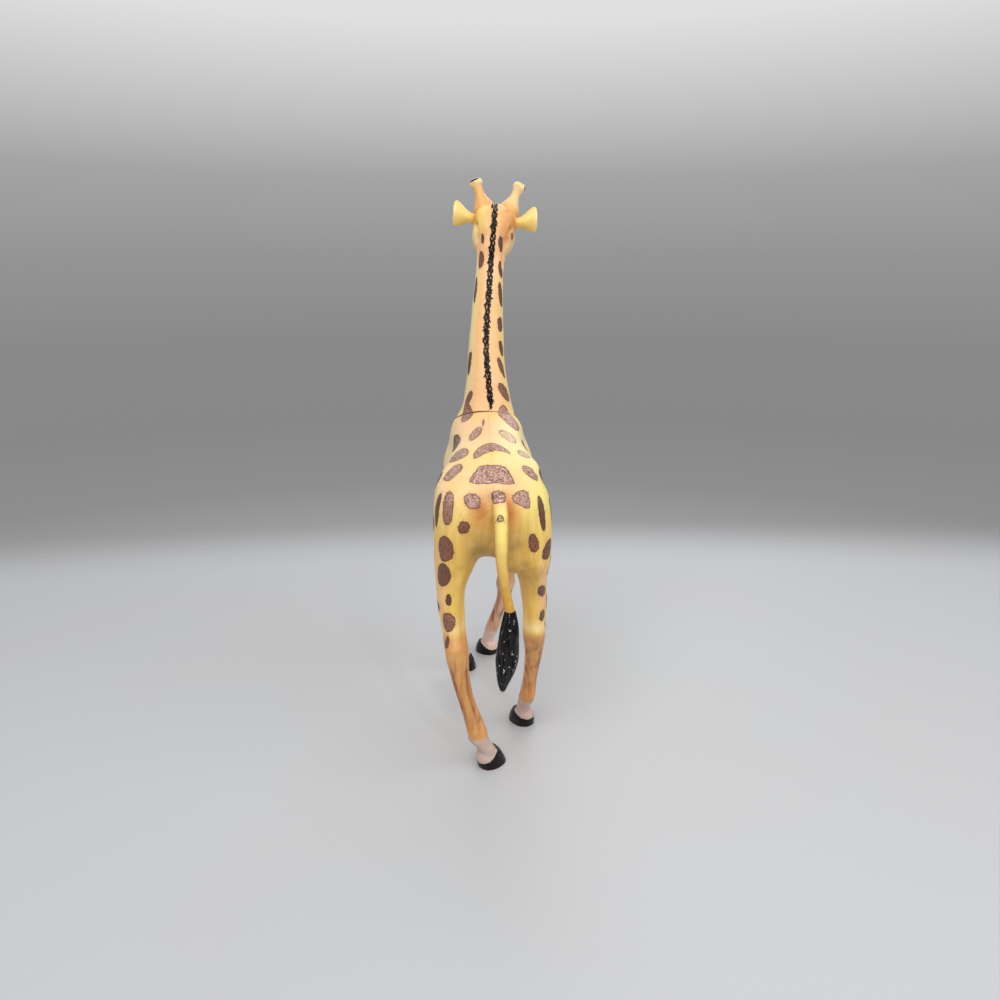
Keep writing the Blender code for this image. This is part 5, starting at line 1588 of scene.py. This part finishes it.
@dataclass
class Hide:
    """The whole skin: fused, sculpted, painted, and cut into the pieces of the real figure."""

    trunk: Trunk
    neck: Neck
    head: Head
    limbs: tuple[Limb, ...]
    grain: float = 0.85
    wall: float = 2.0

    def sculpt(self) -> Flesh:
        """Fuse all forms and shape the skin."""
        solids = [*self.trunk.solids(), *self.neck.solids(), *self.head.solids()]
        for limb in self.limbs:
            solids += limb.solids()
        flesh = Flesh(solids, self.grain)
        z = flesh.points[:, 2]
        fleshy = ease(z, 98, 150) * ease(z, 300, 255)
        flesh.relax(26, fleshy, hold=0)
        crotch = Swell((0, -88, 152), (26, 26, 17), 1.4)
        flesh.relax(90, np.clip(crotch.height(flesh.points), 0, 1), hold=0)
        flesh.relax(7, ease(z, 250, 290), hold=0)
        back = self.head.local(flesh.points)[:, 1]
        flesh.relax(30, ease(z, 366, 376) * ease(back, 20, 14), hold=0)
        flesh.relax(3, ease(z, 22, 40) * ease(z, 130, 100), hold=0)
        flesh.relax(6, 1.0)
        features = self.trunk.features()
        for limb in self.limbs:
            features += limb.features()
        flesh.push(total(features, flesh.points))
        z = flesh.points[:, 2]
        flesh.push(-0.60 * ease(z, 24, 32) * ease(z, 122, 106))
        flesh.relax(3, 1.0)
        spot = self.head.local(flesh.points)
        here = ease(flesh.points[:, 2], 346, 358)
        flesh.push(here * total(self.head.broad_features(), spot))
        flesh.relax(2, 1.0)
        return flesh

    def spots(self, flesh: Flesh) -> SpotCoat:
        """Spots of the photograph's side, and generic ones on the sides it doesn't show."""
        normals = flesh.normals()
        view = CAMERA_PLACE - flesh.points
        x, y, z = flesh.points.T
        facing = (normals * view).sum(axis=1) / np.linalg.norm(view, axis=1)
        hidden = facing < np.select([z > 335, z > 200], [-0.62, -0.17], -0.04)
        outer = (np.sign(x) * normals[:, 0] > 0.15) | (z > 205) | ((y > 45) & (z > 150))
        belly = (normals[:, 2] < -0.45) & (z < 180)
        crest = (np.abs(x - self.neck.drift(z)) < 4.0) & (normals[:, 1] < 0) & (z > 245)
        spot = self.head.local(flesh.points)
        face = (z > 344) & ((spot[:, 1] > 42) | (spot[:, 2] > -1.5) & (spot[:, 1] > 2))
        allowed = hidden & outer & ~belly & ~crest & ~face
        made = Scatter(11, 2.6, spot_size).over(flesh, allowed, SEEN_SPOTS)
        return SpotCoat([*SEEN_SPOTS, *made])

    def paint(self, flesh: Flesh) -> Coat:
        """Every painted value of the skin."""
        coat = Coat(flesh)
        x, y, z = coat.points.T
        nx, ny, nz = coat.normals.T
        self.trunk.paint(coat)
        above = ease(over_seam(coat.points), -14, 4)
        coat.lay(above,
            (Paint.YELLOW, 0.8),
            (Paint.PEACH, ease(-ny, 0.25, 0.95) * ease(z, 385, 365) * 0.85),
            (Paint.HORN, ease(-ny, 0.4, 0.9) * ease(z, 262, 290) * ease(z, 352, 330) * 0.42),
            (Paint.CREAM, ease(ny, 0.2, 0.9) * ease(z, 350, 330) * 0.4),
            # Cream on the side-facing edges of the neck, more on the left, is painted light.
            (Paint.CREAM, ease(z, 372, 350) * (ease(-nx, 0.6, 0.95) * 0.65 + ease(nx, 0.75, 1) * 0.4)))
        for limb in self.limbs:
            limb.paint(coat)
        # The dark band along the neck's seam, stronger on the left where it gapes, is painted shade in the
        # open joint.
        seam = self.neck.planes()[0].height(coat.points) - 0.3
        coat.spray(Paint.OUTLINE, np.exp(-(seam / 0.8) ** 2) * (z > 180) * (0.25 + 0.7 * ease(x, 6, -6)))
        self.head.paint(coat)
        coat.fields.update(self.spots(flesh).read(coat.points, coat.normals))
        # How far each point faces up; the spots' painted highlight follows it.
        coat.fields["sheen"] = ease(nz, 0.15, 0.75)
        return coat

    def part(self) -> dict[str, Body]:
        """Cut the skin into the real pieces' bodies."""
        self.flesh = flesh = self.sculpt()
        coat = self.paint(flesh)
        body = coat.body()
        deck, foot, nape = self.neck.planes()
        floor = Plane(np.zeros(3), -Z)
        cut(body, floor, drop_above=True)
        hip = Plane(np.array((0.0, -76.0, 150.0)), unit((0.0, 0.15, 1.0)))
        elbow = Plane(np.array((0.0, 45.0, 134.8)), Z)
        hoof = Plane(Z * self.limbs[0].hoof_height, Z)
        for plane in (deck, foot, nape, hip, elbow, hoof):
            cut(body, plane)
        names = ["torso", "neck", "head", *(limb.name + "_leg" for limb in self.limbs),
                 *(limb.name + "_hoof" for limb in self.limbs), "gap"]
        gap, legs, hooves = len(names) - 1, 3, 3 + len(self.limbs)

        def choose(middles: Array) -> Array:
            """Number of the piece that each face belongs to."""
            x, y, z = middles.T
            number = np.zeros(len(middles), int)
            number[(deck.height(middles) > 0) & (z > 150)] = gap
            number[(foot.height(middles) > 0) & (z > 150)] = names.index("neck")
            number[(nape.height(middles) > 0) & (z > 300)] = names.index("head")
            hind = (z < 150) & (hip.height(middles) < 0) & ((y < -40) | (z < 118)) & (y < 2)
            fore = (z < 134.8) & (y >= 2)
            for k, limb in enumerate(self.limbs):
                number[(hind if limb.hind else fore) & ((x >= 0) == (limb.side > 0))] = legs + k
            # The feet of two legs stand across the middle plane
            for k, limb in enumerate(self.limbs):
                near = (limb.near(middles) > 0) & (z < 100)
                number[near] = legs + k
                number[near & (z < limb.hoof_height)] = hooves + k
            return number

        bodies = dict(zip(names, share_out(body, choose, len(names))))
        bodies.pop("gap").free()
        for one in bodies.values():
            close(one)
        bodies.update(self._halves(bodies.pop("torso"), "torso", False))
        bodies.update(self._halves(bodies.pop("neck"), "neck", True))
        return bodies

    def _halves(self, body: Body, name: str, drifting: bool) -> dict[str, Body]:
        """Part a hollow moulding along its middle, and give both halves their walls."""
        points, faces, fields = read_body(body)
        deck, foot, _ = self.neck.planes()
        end = foot if drifting else Plane(deck.point, -deck.normal)
        if drifting:
            points[:, 0] -= self.neck.drift(points[:, 2])
        body = as_body(points, faces, fields)
        cut(body, Plane(np.zeros(3), X))
        halves = {}
        for side, half in zip(("left", "right"), share_out(body, lambda middles: (middles[:, 0] > 0) * 1, 2)):
            points, faces, fields = read_body(walled(half, self.wall, end))
            sign = -1 if side == "left" else 1
            points[:, 0] += np.where(np.abs(points[:, 0]) < 0.02, sign * 0.05, 0.0)
            if drifting:
                points[:, 0] += self.neck.drift(points[:, 2])
            halves[f"{name}_{side}_shell"] = as_body(points, faces, fields)
        return halves

    def carve_head(self, body: Body) -> Body:
        """Refine the head and carve lids, nostrils and lips."""
        points, faces, fields = read_body(refined(body))
        inside = ease(self.neck.planes()[2].height(points), 1.5, 5)
        spot = self.head.local(points)
        height = inside * total(self.head.fine_features(), spot)
        smooth = stacked(fields, NORMAL_FIELDS)
        smooth /= np.maximum(np.linalg.norm(smooth, axis=1, keepdims=True), 1e-9)
        points = points + smooth * height[:, None]
        fresh = point_normals(points, faces)
        smooth = smooth * (1 - inside[:, None]) + fresh * inside[:, None]
        fields.update(zip(NORMAL_FIELDS, smooth.T))
        return as_body(points, faces, fields)


@dataclass
class Tail:
    """Tail rod with its flared root."""

    root: Triple = (0.0, -80.0, 200.0)
    drop: float = 71.0
    reach: float = 40.0
    sway: float = 9.6
    radius: float = 5.3

    def middle(self, share: float) -> Array:
        """Point of the tail's middle line."""
        drop, reach, sway, _ = read_rows(TAIL_SHARES, share)[0]
        return np.array(self.root) + (self.sway * sway, -self.reach * reach, -self.drop * drop)

    def ring(self, share: float, sides: int = 30) -> Array:
        """Section across the tail."""
        run = unit(self.middle(min(share + 0.01, 1.0)) - self.middle(max(share - 0.01, 0.0)))
        deep = unit(np.cross(run, X))
        radius = self.radius * read_rows(TAIL_SHARES, share)[0][3]
        flare = 1 + 0.28 * float(ease(share, 0.22, 0.06))
        across = unit(np.cross(deep, run))
        return section(self.middle(share), across * radius * flare, deep * radius, 2.0, sides)

    def body(self, effects_spots: SpotCoat) -> Body:
        """Sculpted and painted tail."""
        flesh = Flesh([loft([self.ring(share) for share in np.linspace(0.0, 1.0, 90)])], 0.5)
        flesh.relax(6, 1.0)
        low = ease(flesh.points[:, 2], 165, 145)
        ripple = np.sin(flesh.points[:, 2] * math.tau / 2.1 + 0.6 * np.sin(flesh.points[:, 0] * 1.7))
        flesh.push(low * 0.07 * ripple + 0.05 * np.sin(flesh.points[:, 2] * math.tau / 7.3))
        coat = Coat(flesh)
        z = coat.points[:, 2]
        coat.lay(1,
            (Paint.LEMON, ease(z, 150, 185) * 0.6),
            (Paint.PEACH, ease(z, 190, 203) * ease(coat.normals[:, 2], 0, 0.8) * 0.7),
            (Paint.OCHRE, ease(z, 185, 135)),
            (Paint.ORANGE, ease(np.abs(coat.normals[:, 0]), 0.5, 1) * 0.4))
        coat.fields.update(effects_spots.read(coat.points, coat.normals))
        # How far each point faces up; the spots' painted highlight follows it.
        coat.fields["sheen"] = ease(coat.normals[:, 2], 0.15, 0.75)
        return coat.body()


@dataclass
class Horn:
    """One horn with its knob and its brushed black tip."""

    side: int
    lean: Triple
    length: float = 31.0
    radius: float = 4.95

    def body(self, head: Head) -> Body:
        """Sculpted and painted horn."""
        root, axis = head.point(self.side * 7.5, 21.0, 12.0), unit(self.lean)
        across = unit(np.cross(Y, axis))
        along = np.cross(axis, across)
        rings = []
        for share in spaced(30):
            flare = 1 + 0.85 * float(ease(share, 0.68, 0.22) * ease(share, 0, 0.2))
            radius = self.radius * read_rows(HORN_PROFILE, share)[0][0] * flare
            rings.append(section(root + axis * self.length * share, across * radius, along * radius * 0.94,
                                 2.0, 28))
        flesh = Flesh([loft(rings)], 0.42)
        flesh.relax(5, 1.0)
        top = root + axis * self.length * 0.90
        bumps = [Swell(top + across * 4 * math.cos(a) + along * 4 * math.sin(a) + axis * lift,
                       (1.7,) * 3, 0.55) for a, lift in HORN_BUMPS]
        flesh.push(total(bumps, flesh.points))
        coat = Coat(flesh)
        share = (coat.points - root) @ axis / self.length
        coat.lay(1,
            (Paint.HORN, np.full(len(share), 1.0)),
            (Paint.ORANGE, ease(share, 0.70, 0.45) * 0.22),
            (Paint.CREAM, ease(share, 0.66, 0.88) * 0.55),
            (Paint.CREAM, np.full(len(share), 0.45 if self.side > 0 else 0.0) * ease(share, 0.25, 0.45)),
            (Paint.LEMON, ease(share, 0.80, 0.95) * 0.35))
        off = coat.points - root - np.outer(share * self.length, axis)
        outward, forward = off @ across * self.side, np.maximum(off[:, 1], 0)
        if self.side < 0:
            black = (0.925 - share) * 26 + 0.20 * np.maximum(-outward, 0) - 0.7 * forward
        else:
            black = np.minimum((0.97 - share) * 22 - 0.9 * forward,
                               (0.90 - share) * 14 - (outward - 4.3) * 1.3)
        coat.fields["black"] = black
        return coat.body()


@dataclass
class Ear:
    """One ear: a thin flared plate with a hollow front."""

    side: int
    lean: Triple
    length: float = 21.5
    half_height: float = 10.4
    half_thickness: float = 1.25

    def body(self, head: Head) -> Body:
        """Sculpted and painted ear."""
        root, lean = head.point(self.side * 13.0, 15.0, 7.5), unit(self.lean)
        thick = unit(np.cross(lean, Z))
        if thick[1] < 0:
            thick = -thick
        tall = unit(np.cross(thick, lean))
        if tall[2] < 0:
            tall = -tall
        rings = []
        for share in np.linspace(-0.06, 1.0, 34):
            height, thin, rise = read_rows(EAR_FORM, max(share, 0.0))[0]
            centre = root + lean * self.length * share + tall * self.half_height * rise
            angles = np.arange(40) * math.tau / 40
            t, edge = np.cos(angles), np.sin(angles)
            t = np.where(t < 0, 0.9 * t, t)
            cup = 4.2 * float(ease(share, 0.1, 0.6)) * (t * t - 0.45)
            edge = edge * (1 + 0.5 * np.abs(t) ** 6)
            rings.append(centre + np.outer(t * height * self.half_height, tall)
                         + np.outer(edge * thin * self.half_thickness + cup, thick))
        flesh = Flesh([loft(rings)], 0.4)
        flesh.relax(4, 1.0)
        coat = Coat(flesh)
        share = (coat.points - root) @ lean / self.length
        front = ease(coat.normals @ thick, 0.1, 0.6)
        middle = (coat.points - root) @ tall / self.half_height
        coat.lay(1,
            # Gold on the ear's lower half is painted shade.
            (Paint.GOLD, ease(middle, 0.5, -0.7) * 0.45),
            (Paint.ORANGE, ease(share, 0.40, 0.02) * 0.85),
            # Brown under the ear's root is painted shade.
            (Paint.STREAK, ease(share, 0.16, 0) * ease(middle, 0.1, -0.3) * 0.6),
            (Paint.CREAM, front * ease(share, 0.2, 0.5) * 0.6),
            (Paint.ROSE, front * ease(np.abs(middle), 0.6, 0.1) * ease(share, 0.95, 0.6) * 0.95),
            (Paint.CREAM, ease(share, 0.86, 1) * 0.85))
        return coat.body()


@dataclass
class Eye:
    """One glossy eye bead with a raised iris."""

    side: int
    radius: float = 3.0

    def body(self, head: Head) -> Body:
        """Bead that looks out to the side."""
        centre = head.point(self.side * 12.6, 33.0, 5.5)
        out = unit(head.turn @ np.array((self.side, 0.16, 0.05)))
        up = unit(np.cross(np.cross(out, Z), out))
        rings = []
        for share in spaced(26):
            level = 1 - 2 * share
            width = math.sqrt(max(1 - level * level, 0.0)) * self.radius
            iris = 0.16 * math.exp(-((width - 1.6) / 0.28) ** 2) if level > 0 else 0.0
            rings.append(section(centre + out * (self.radius * level + iris),
                                 np.cross(out, up) * max(width, 0.03) * 1.08, up * max(width, 0.03), 2.0, 32))
        solid = loft(rings)
        body = as_body(solid.points, solid.faces)
        bmesh.ops.recalc_face_normals(body, faces=body.faces)
        return body


def curve_object(name: str, lines: list[Array], radii: list[Array] | None) -> bpy.types.Object:
    """Curve object with one open spline for each line of points in millimetres."""
    data = bpy.data.curves.new(name, "CURVE")
    data.dimensions = "3D"
    for k, line in enumerate(lines):
        spline = data.splines.new("POLY")
        spline.points.add(len(line) - 1)
        flat = np.column_stack([np.asarray(line) * MM, np.ones(len(line))])
        spline.points.foreach_set("co", flat.ravel())
        if radii:
            spline.points.foreach_set("radius", radii[k])
    return placed(name, data)


class Grower(Group):
    """A group of geometry nodes that is run on curves and leaves a plain mesh."""

    def __init__(self, name: str, takes: Takes) -> None:
        """Make the group, which takes the curves first."""
        super().__init__(name, (("Geometry", "Geometry", None), *takes), (("Geometry", "Geometry"),),
                         "GeometryNodeTree")

    def tubes(self, sides: object, radius: object) -> Node:
        """Tubes with closed ends along the curves."""
        profile = self.add("GeometryNodeCurvePrimitiveCircle", {"Resolution": sides, "Radius": radius})
        return self.add("GeometryNodeCurveToMesh", {
            "Curve": self.takes[0], "Profile Curve": profile.outputs[0], "Fill Caps": True})

    def grow(self, geometry: Socket, finish: Material, lines: list[Array],
             radii: list[Array] | None = None) -> Mesh:
        """Realize and paint the geometry, and run the group.

        Args:
            geometry: what the nodes make.
            finish: its material.
            lines: points of each curve.
            radii: radius at each of those points, or none.

        Returns:
            The result as a plain mesh.
        """
        real = self.add("GeometryNodeRealizeInstances", {"Geometry": geometry})
        painted = self.add("GeometryNodeSetMaterial", {"Geometry": real.outputs[0], "Material": finish})
        item = curve_object(self.tree.name, lines, radii)
        step = item.modifiers.new("grow", "NODES")
        step.node_group = self.end({0: painted.outputs[0]})
        for key, value in self.values.items():
            if value is not None:
                step[key] = value
        return settled(item)


@dataclass
class Mane:
    """Thin black crest of hair up the back of the neck and head."""

    low: float = 246.3
    top: float = 401.0
    half_width: float = 1.35
    waves: float = 0.45
    spacing: float = 1.15
    tuft_length: float = 2.1
    tuft_width: float = 0.62
    strip: float = 0.64
    seed: int = 5

    def route(self, flesh: Flesh) -> Array:
        """Points from the crown down the back of the neck, on the skin."""
        tree = BVHTree.FromPolygons(flesh.points.tolist(), flesh.quads.tolist())
        places = []
        for height in np.linspace(self.top, self.low, 120):
            if height < 356:
                across = (Neck().drift(np.array([height]))[0] + 2.2 * ((356 - height) / 110) ** 3
                          - 1.2 * math.exp(-((height - 298) / 28) ** 2))
            else:
                across = 4.3 + (6.2 + math.tan(math.radians(7.5)) * 14.5 - 4.3) * (height - 356) / 44
            hit = tree.ray_cast(Vector((across, -110.0, height)), Vector((0.0, 1.0, 0.0)))[0]
            if hit is not None:
                places.append(np.array(hit))
        return np.array(places)

    def build(self, flesh: Flesh, finish: Material) -> Mesh:
        """Grow the strip and its tufts along the route."""
        route = self.route(flesh)
        rising = np.linspace(0, 1, len(route))
        lines = []
        for row in (-1.0, 0.0, 1.0):
            wave = self.half_width * row + self.waves * (np.sin(rising * (150 + 37 * row) + 2.2 * row)
                                                         + 0.5 * np.sin(rising * (290 - 60 * row)))
            wave *= ease(rising, 1, 0.965)
            lines.append(route + np.outer(wave, X) - 0.10 * Y)
        grower = Grower("Mane hair", (
            ("Spacing", "Float", self.spacing * MM), ("Tuft Length", "Float", self.tuft_length * MM),
            ("Tuft Width", "Float", self.tuft_width * MM), ("Strip Width", "Float", self.strip * MM),
            ("Seed", "Int", self.seed)))
        curve, spacing, length, width, thickness, seed = grower.takes
        strip = grower.tubes(6, thickness)
        spots = grower.add("GeometryNodeCurveToPoints", {"Curve": curve, "Length": spacing}, mode="LENGTH")
        tuft = grower.add("GeometryNodeMeshCone", {
            "Vertices": 6, "Side Segments": 3, "Radius Top": 0.15 * MM, "Radius Bottom": width,
            "Depth": length})
        along = grower.add("FunctionNodeAlignRotationToVector", {"Vector": spots.outputs["Tangent"]},
                           axis="Z")
        outward = grower.add("FunctionNodeAlignRotationToVector", {
            "Rotation": along.outputs[0], "Vector": (0.0, -1.0, 0.0)}, axis="Y", pivot_axis="Z")
        turn = grower.add("FunctionNodeRandomValue", {
            0: (-0.12, -1.1, -0.3), 1: (0.05, 1.1, 0.3), "Seed": seed}, data_type="FLOAT_VECTOR")
        size = grower.add("FunctionNodeRandomValue", {2: 0.7, 3: 1.2, "Seed": seed}, data_type="FLOAT")
        places = grower.add("GeometryNodeInstanceOnPoints", {
            "Points": spots.outputs["Points"], "Instance": tuft.outputs["Mesh"],
            "Rotation": outward.outputs[0], "Scale": size.outputs[1]})
        turned = grower.add("GeometryNodeRotateInstances", {
            "Instances": places.outputs[0], "Rotation": turn.outputs[0]})
        both = grower.add("GeometryNodeJoinGeometry")
        for part in (strip, turned):
            grower.feed(both, {0: part.outputs[0]})
        return grower.grow(both.outputs[0], finish, lines)


@dataclass
class Tuft:
    """Black hair at the tail's end: locks over a core."""

    length: float = 57.0
    half_width: float = 7.1
    half_depth: float = 6.0
    locks: int = 24
    lock_width: float = 1.85
    overhang: float = 1.07
    seed: int = 9

    def ring(self, start: Array, share: float, fill: float, sides: int = 28) -> Array:
        """Section of the tuft, filled to a share of its size."""
        width, sway = read_rows(TUFT_SHARES, share)[0]
        centre = start - Z * self.length * self.overhang * share - X * self.half_width * sway
        return section(centre, X * self.half_width * width * fill, Y * self.half_depth * width * fill,
                       2.0, sides)

    def build(self, tail: Tail, finish: Material) -> Mesh:
        """Grow the locks over the core."""
        start = tail.middle(1.0) + Z * 0.8
        dice = random.Random(self.seed)
        lines, radii = [], []
        for k in range(self.locks):
            angle = k * 2.399963 + dice.uniform(-0.15, 0.15)
            first = 0.0 if k < 14 else dice.uniform(0.05, 0.42)
            last = min(first + dice.uniform(0.48, 0.75), 1.0) if k % 3 else 1.0
            twist, depth = dice.uniform(-0.5, 0.7), dice.uniform(0.78, 0.93)
            stops = np.linspace(first, last, 22)
            line = []
            for share in stops:
                t = (share - first) / (last - first)
                ring = self.ring(start, share, depth * (0.9 + 0.1 * math.sin(math.pi * t)))
                centre = ring.mean(axis=0)
                turn = angle + twist * t + 0.12 * math.sin(9 * t + k)
                line.append(centre + (ring[0] - centre) * math.cos(turn)
                            + (ring[7] - centre) * math.sin(turn))
            t = np.linspace(0, 1, len(stops))
            lines.append(np.array(line))
            radii.append((0.35 + 0.65 * np.sin(np.pi * np.clip(t * 0.9 + 0.08, 0, 1)) ** 0.7)
                         * (1 - 0.8 * t ** 5) * dice.uniform(0.8, 1.25))
        grower = Grower("Tuft hair", (("Lock Width", "Float", self.lock_width * MM), ("Sides", "Int", 8)))
        _, width, sides = grower.takes
        locks = grower.tubes(sides, width)
        if "Scale" in locks.inputs:
            grower.feed(locks, {"Scale": grower.add("GeometryNodeInputRadius").outputs[0]})
        body = absorbed(grower.grow(locks.outputs[0], finish, lines, radii))
        core = loft([self.ring(start, share, 0.80) for share in spaced(30)])
        solid = as_body(core.points * MM, core.faces)
        bmesh.ops.recalc_face_normals(solid, faces=solid.faces)
        mesh = as_mesh(absorbed(as_mesh(solid), body), "tail_tuft")
        mesh.polygons.foreach_set("use_smooth", [True] * len(mesh.polygons))
        return mesh


# Greys of the wall behind the table, by how far up the look goes
WALL_GREYS: tuple[tuple[float, int], ...] = (
    (0, 198), (0.25, 196), (0.318, 193), (0.334, 172), (0.35, 156), (0.375, 142), (0.414, 136),
    (0.465, 137), (0.515, 148), (0.562, 164), (0.604, 198), (0.643, 224), (0.72, 228), (1, 205),
)

# Lights: name, place, height of the aim, size, power
LIGHTS: tuple[tuple[str, Triple, float, float, float], ...] = (
    ("key", (-0.35, -0.75, 1.25), 0.2, 0.9, 10.0), ("fill", (0.75, -0.45, 0.85), 0.2, 0.9, 4.2),
    ("front", (0.2, 0.95, 0.95), 0.2, 0.9, 4.4), ("glint", (0.30, -0.85, 0.75), 0.15, 0.05, 0.9),
)


@dataclass
class Studio:
    """Pale table, soft light, and the camera of the photograph."""

    camera_tilt: float = 74.0
    camera_turn: float = -3.0
    lens: float = 27.04

    def world(self) -> None:
        """Even light, with a grey wall for whatever looks at it."""
        world = bpy.data.worlds.new("Studio air")
        bpy.context.scene.world = world
        world.use_nodes = True
        bench = Bench(world.node_tree)
        rise = bench.add("ShaderNodeSeparateXYZ", {0: bench.coords("Generated")}).outputs[2]
        ramp = bench.add("ShaderNodeValToRGB", {0: bench.plus(bench.times(rise, 0.5), 0.5)})
        stops = ramp.color_ramp.elements
        while len(stops) < len(WALL_GREYS):
            stops.new(0.5)
        for stop, (place, grey) in zip(stops, WALL_GREYS):
            stop.position, stop.color = place, (*linear((grey, grey, grey + 1)), 1.0)
        looks = bench.add("ShaderNodeLightPath").outputs
        seen = bench.math("MAXIMUM", looks["Is Glossy Ray"], looks["Is Transmission Ray"])
        seen = bench.math("MAXIMUM", looks["Is Camera Ray"], seen)
        bench.feed(world.node_tree.nodes["Background"],
                   {0: bench.mix((0.47, 0.47, 0.475, 1.0), ramp.outputs[0], seen)})

    def floor(self) -> None:
        """Pale table top that fades to the wall's grey far out."""
        body = bmesh.new()
        bmesh.ops.create_grid(body, x_segments=24, y_segments=24, size=1.6)
        mesh = as_mesh(body, "table_top")
        bench = Coating("Pale table")
        cloud = bench.step(bench.noise(4), 0.3, 0.7, (0, 0.06))
        place = bench.add("ShaderNodeSeparateXYZ", {0: bench.coords("Object")}).outputs
        aside = bench.math("POWER", bench.times(place[0], 0.30), 2.0)
        far = bench.math("SQRT", bench.plus(aside, bench.math("POWER", place[1], 2.0)))
        clear = bench.add("ShaderNodeBsdfTransparent")
        blend = bench.add("ShaderNodeMixShader", {
            0: bench.step(far, 0.30, 0.50), 1: bench.shader.outputs[0], 2: clear.outputs[0]})
        bench.feed(bench.tree.nodes["Material Output"], {0: blend.outputs[0]})
        mesh.materials.append(bench.finish({
            "Base Color": bench.mix(Paint.TABLE, Paint.BONE, cloud), "Roughness": 0.55}))
        placed("table_top", mesh)

    def build(self) -> None:
        """Place floor, lights and camera."""
        bpy.context.scene.view_settings.view_transform = "Standard"
        self.world()
        self.floor()
        for name, place, aim, size, power in LIGHTS:
            lamp = bpy.data.lights.new(name, "AREA")
            lamp.shape, lamp.size, lamp.energy = "SQUARE", size, power
            item = placed(name, lamp)
            item.location = place
            look = Vector((0.0, 0.0, aim)) - Vector(place)
            item.rotation_euler = look.to_track_quat("-Z", "Y").to_euler()
        data = bpy.data.cameras.new("camera")
        data.lens, data.sensor_width, data.sensor_fit = self.lens, 36.0, "HORIZONTAL"
        data.clip_start, data.clip_end = 0.01, 20.0
        item = placed("camera", data)
        item.location = CAMERA_PLACE * MM
        item.rotation_euler = (math.radians(self.camera_tilt), 0.0, math.radians(self.camera_turn))
        bpy.context.scene.camera = item


@dataclass
class Giraffe:
    """The whole figure."""

    limbs: tuple[Limb, ...] = (
        Limb("hind_left", -1, True, -76.0, (0.72, 0.69), HIND_LEFT_PATH, 109.0, slim=0.08),
        Limb("hind_right", 1, True, -70.0, (-0.58, 0.81), HIND_RIGHT_PATH, 99.0, cuff=12.3, slope=0.38,
             slim=0.24),
        Limb("front_left", -1, False, 44.0, (-0.10, 0.99), FORE_LEFT_PATH, 94.0, cuff=17.5),
        Limb("front_right", 1, False, 46.0, (-0.70, 0.71), FORE_RIGHT_PATH, 94.0),
    )

    def build(self) -> None:
        """Build, dress and report every piece."""
        effects = {"spots": spots_effect(), "grain": grain_effect(), "wear": wear_effect()}
        hide_finish = HideFinish("Airbrushed hide", grain=0.32).build(effects)
        leg_finish = HideFinish("Streaked leg", grain=0.30, stroke=1.5).build(effects)
        smooth_finish = HideFinish("Smooth hide", grain=0.12, roughness=0.38).build(effects)
        hoof_finish = HideFinish("Hoof and coronet", grain=0.16, roughness=0.42, shine=0.25).build(effects)
        hair_finish = BlackFinish("Black hair", grain=0.15, chips=0.1, shine=0.2).build(effects)
        # The tuft's many pale flecks are painted glints; its pale tip is real wear.
        tuft_finish = BlackFinish("Black tuft", 0.5, 1.0, shine=0.3, worn_below=70.5).build(effects)
        eye_finish = BlackFinish("Eye gloss", grain=0.02, chips=0.0, gloss=0.6).build(effects)
        bare = BareFinish("Bare inner plastic").build(effects)
        neck, head, tail = Neck(), Head(), Tail()
        hide = Hide(Trunk(), neck, head, self.limbs)
        bodies = hide.part()
        bodies["head"] = hide.carve_head(bodies["head"])
        dress = {"hoof": ("black_paint", hoof_finish), "leg": ("leg_skin", leg_finish)}
        for name, body in bodies.items():
            slot, finish = dress.get(name.split("_")[-1], ("spotted_skin", hide_finish))
            Piece(name, "neck" if name.startswith(("neck", "head")) else "trunk", slot).publish(body, finish)
        Piece("tail", "trunk", "spotted_skin").publish(tail.body(SpotCoat(list(TAIL_SPOTS))), hide_finish)
        for side, word in ((-1, "left"), (1, "right")):
            horn = Horn(side, (-0.30, 0.10, 0.95) if side < 0 else (0.42, 0.10, 0.90))
            ear = Ear(side, (-0.975, -0.15, 0.12) if side < 0 else (0.98, -0.15, 0.03))
            for part, shape, slot, finish in (("horn", horn, "plain_skin", smooth_finish),
                                              ("ear", ear, "plain_skin", smooth_finish),
                                              ("eye", Eye(side), "black_paint", eye_finish)):
                Piece(f"{word}_{part}", "neck", slot).publish(shape.body(head), finish)
        Piece("mane", "neck", "black_paint").dress(Mane().build(hide.flesh, hair_finish), hair_finish)
        Piece("tail_tuft", "trunk", "black_paint").dress(Tuft().build(tail, tuft_finish), tuft_finish)
        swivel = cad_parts["neck_swivel"]
        swivel.data.materials.clear()
        swivel.data.materials.append(bare)


def main() -> None:
    """Build the figure and its studio."""
    logging.basicConfig(level=logging.INFO, format="%(name)s: %(message)s")
    Giraffe().build()
    Studio().build()


if __name__ == "__main__":
    main()
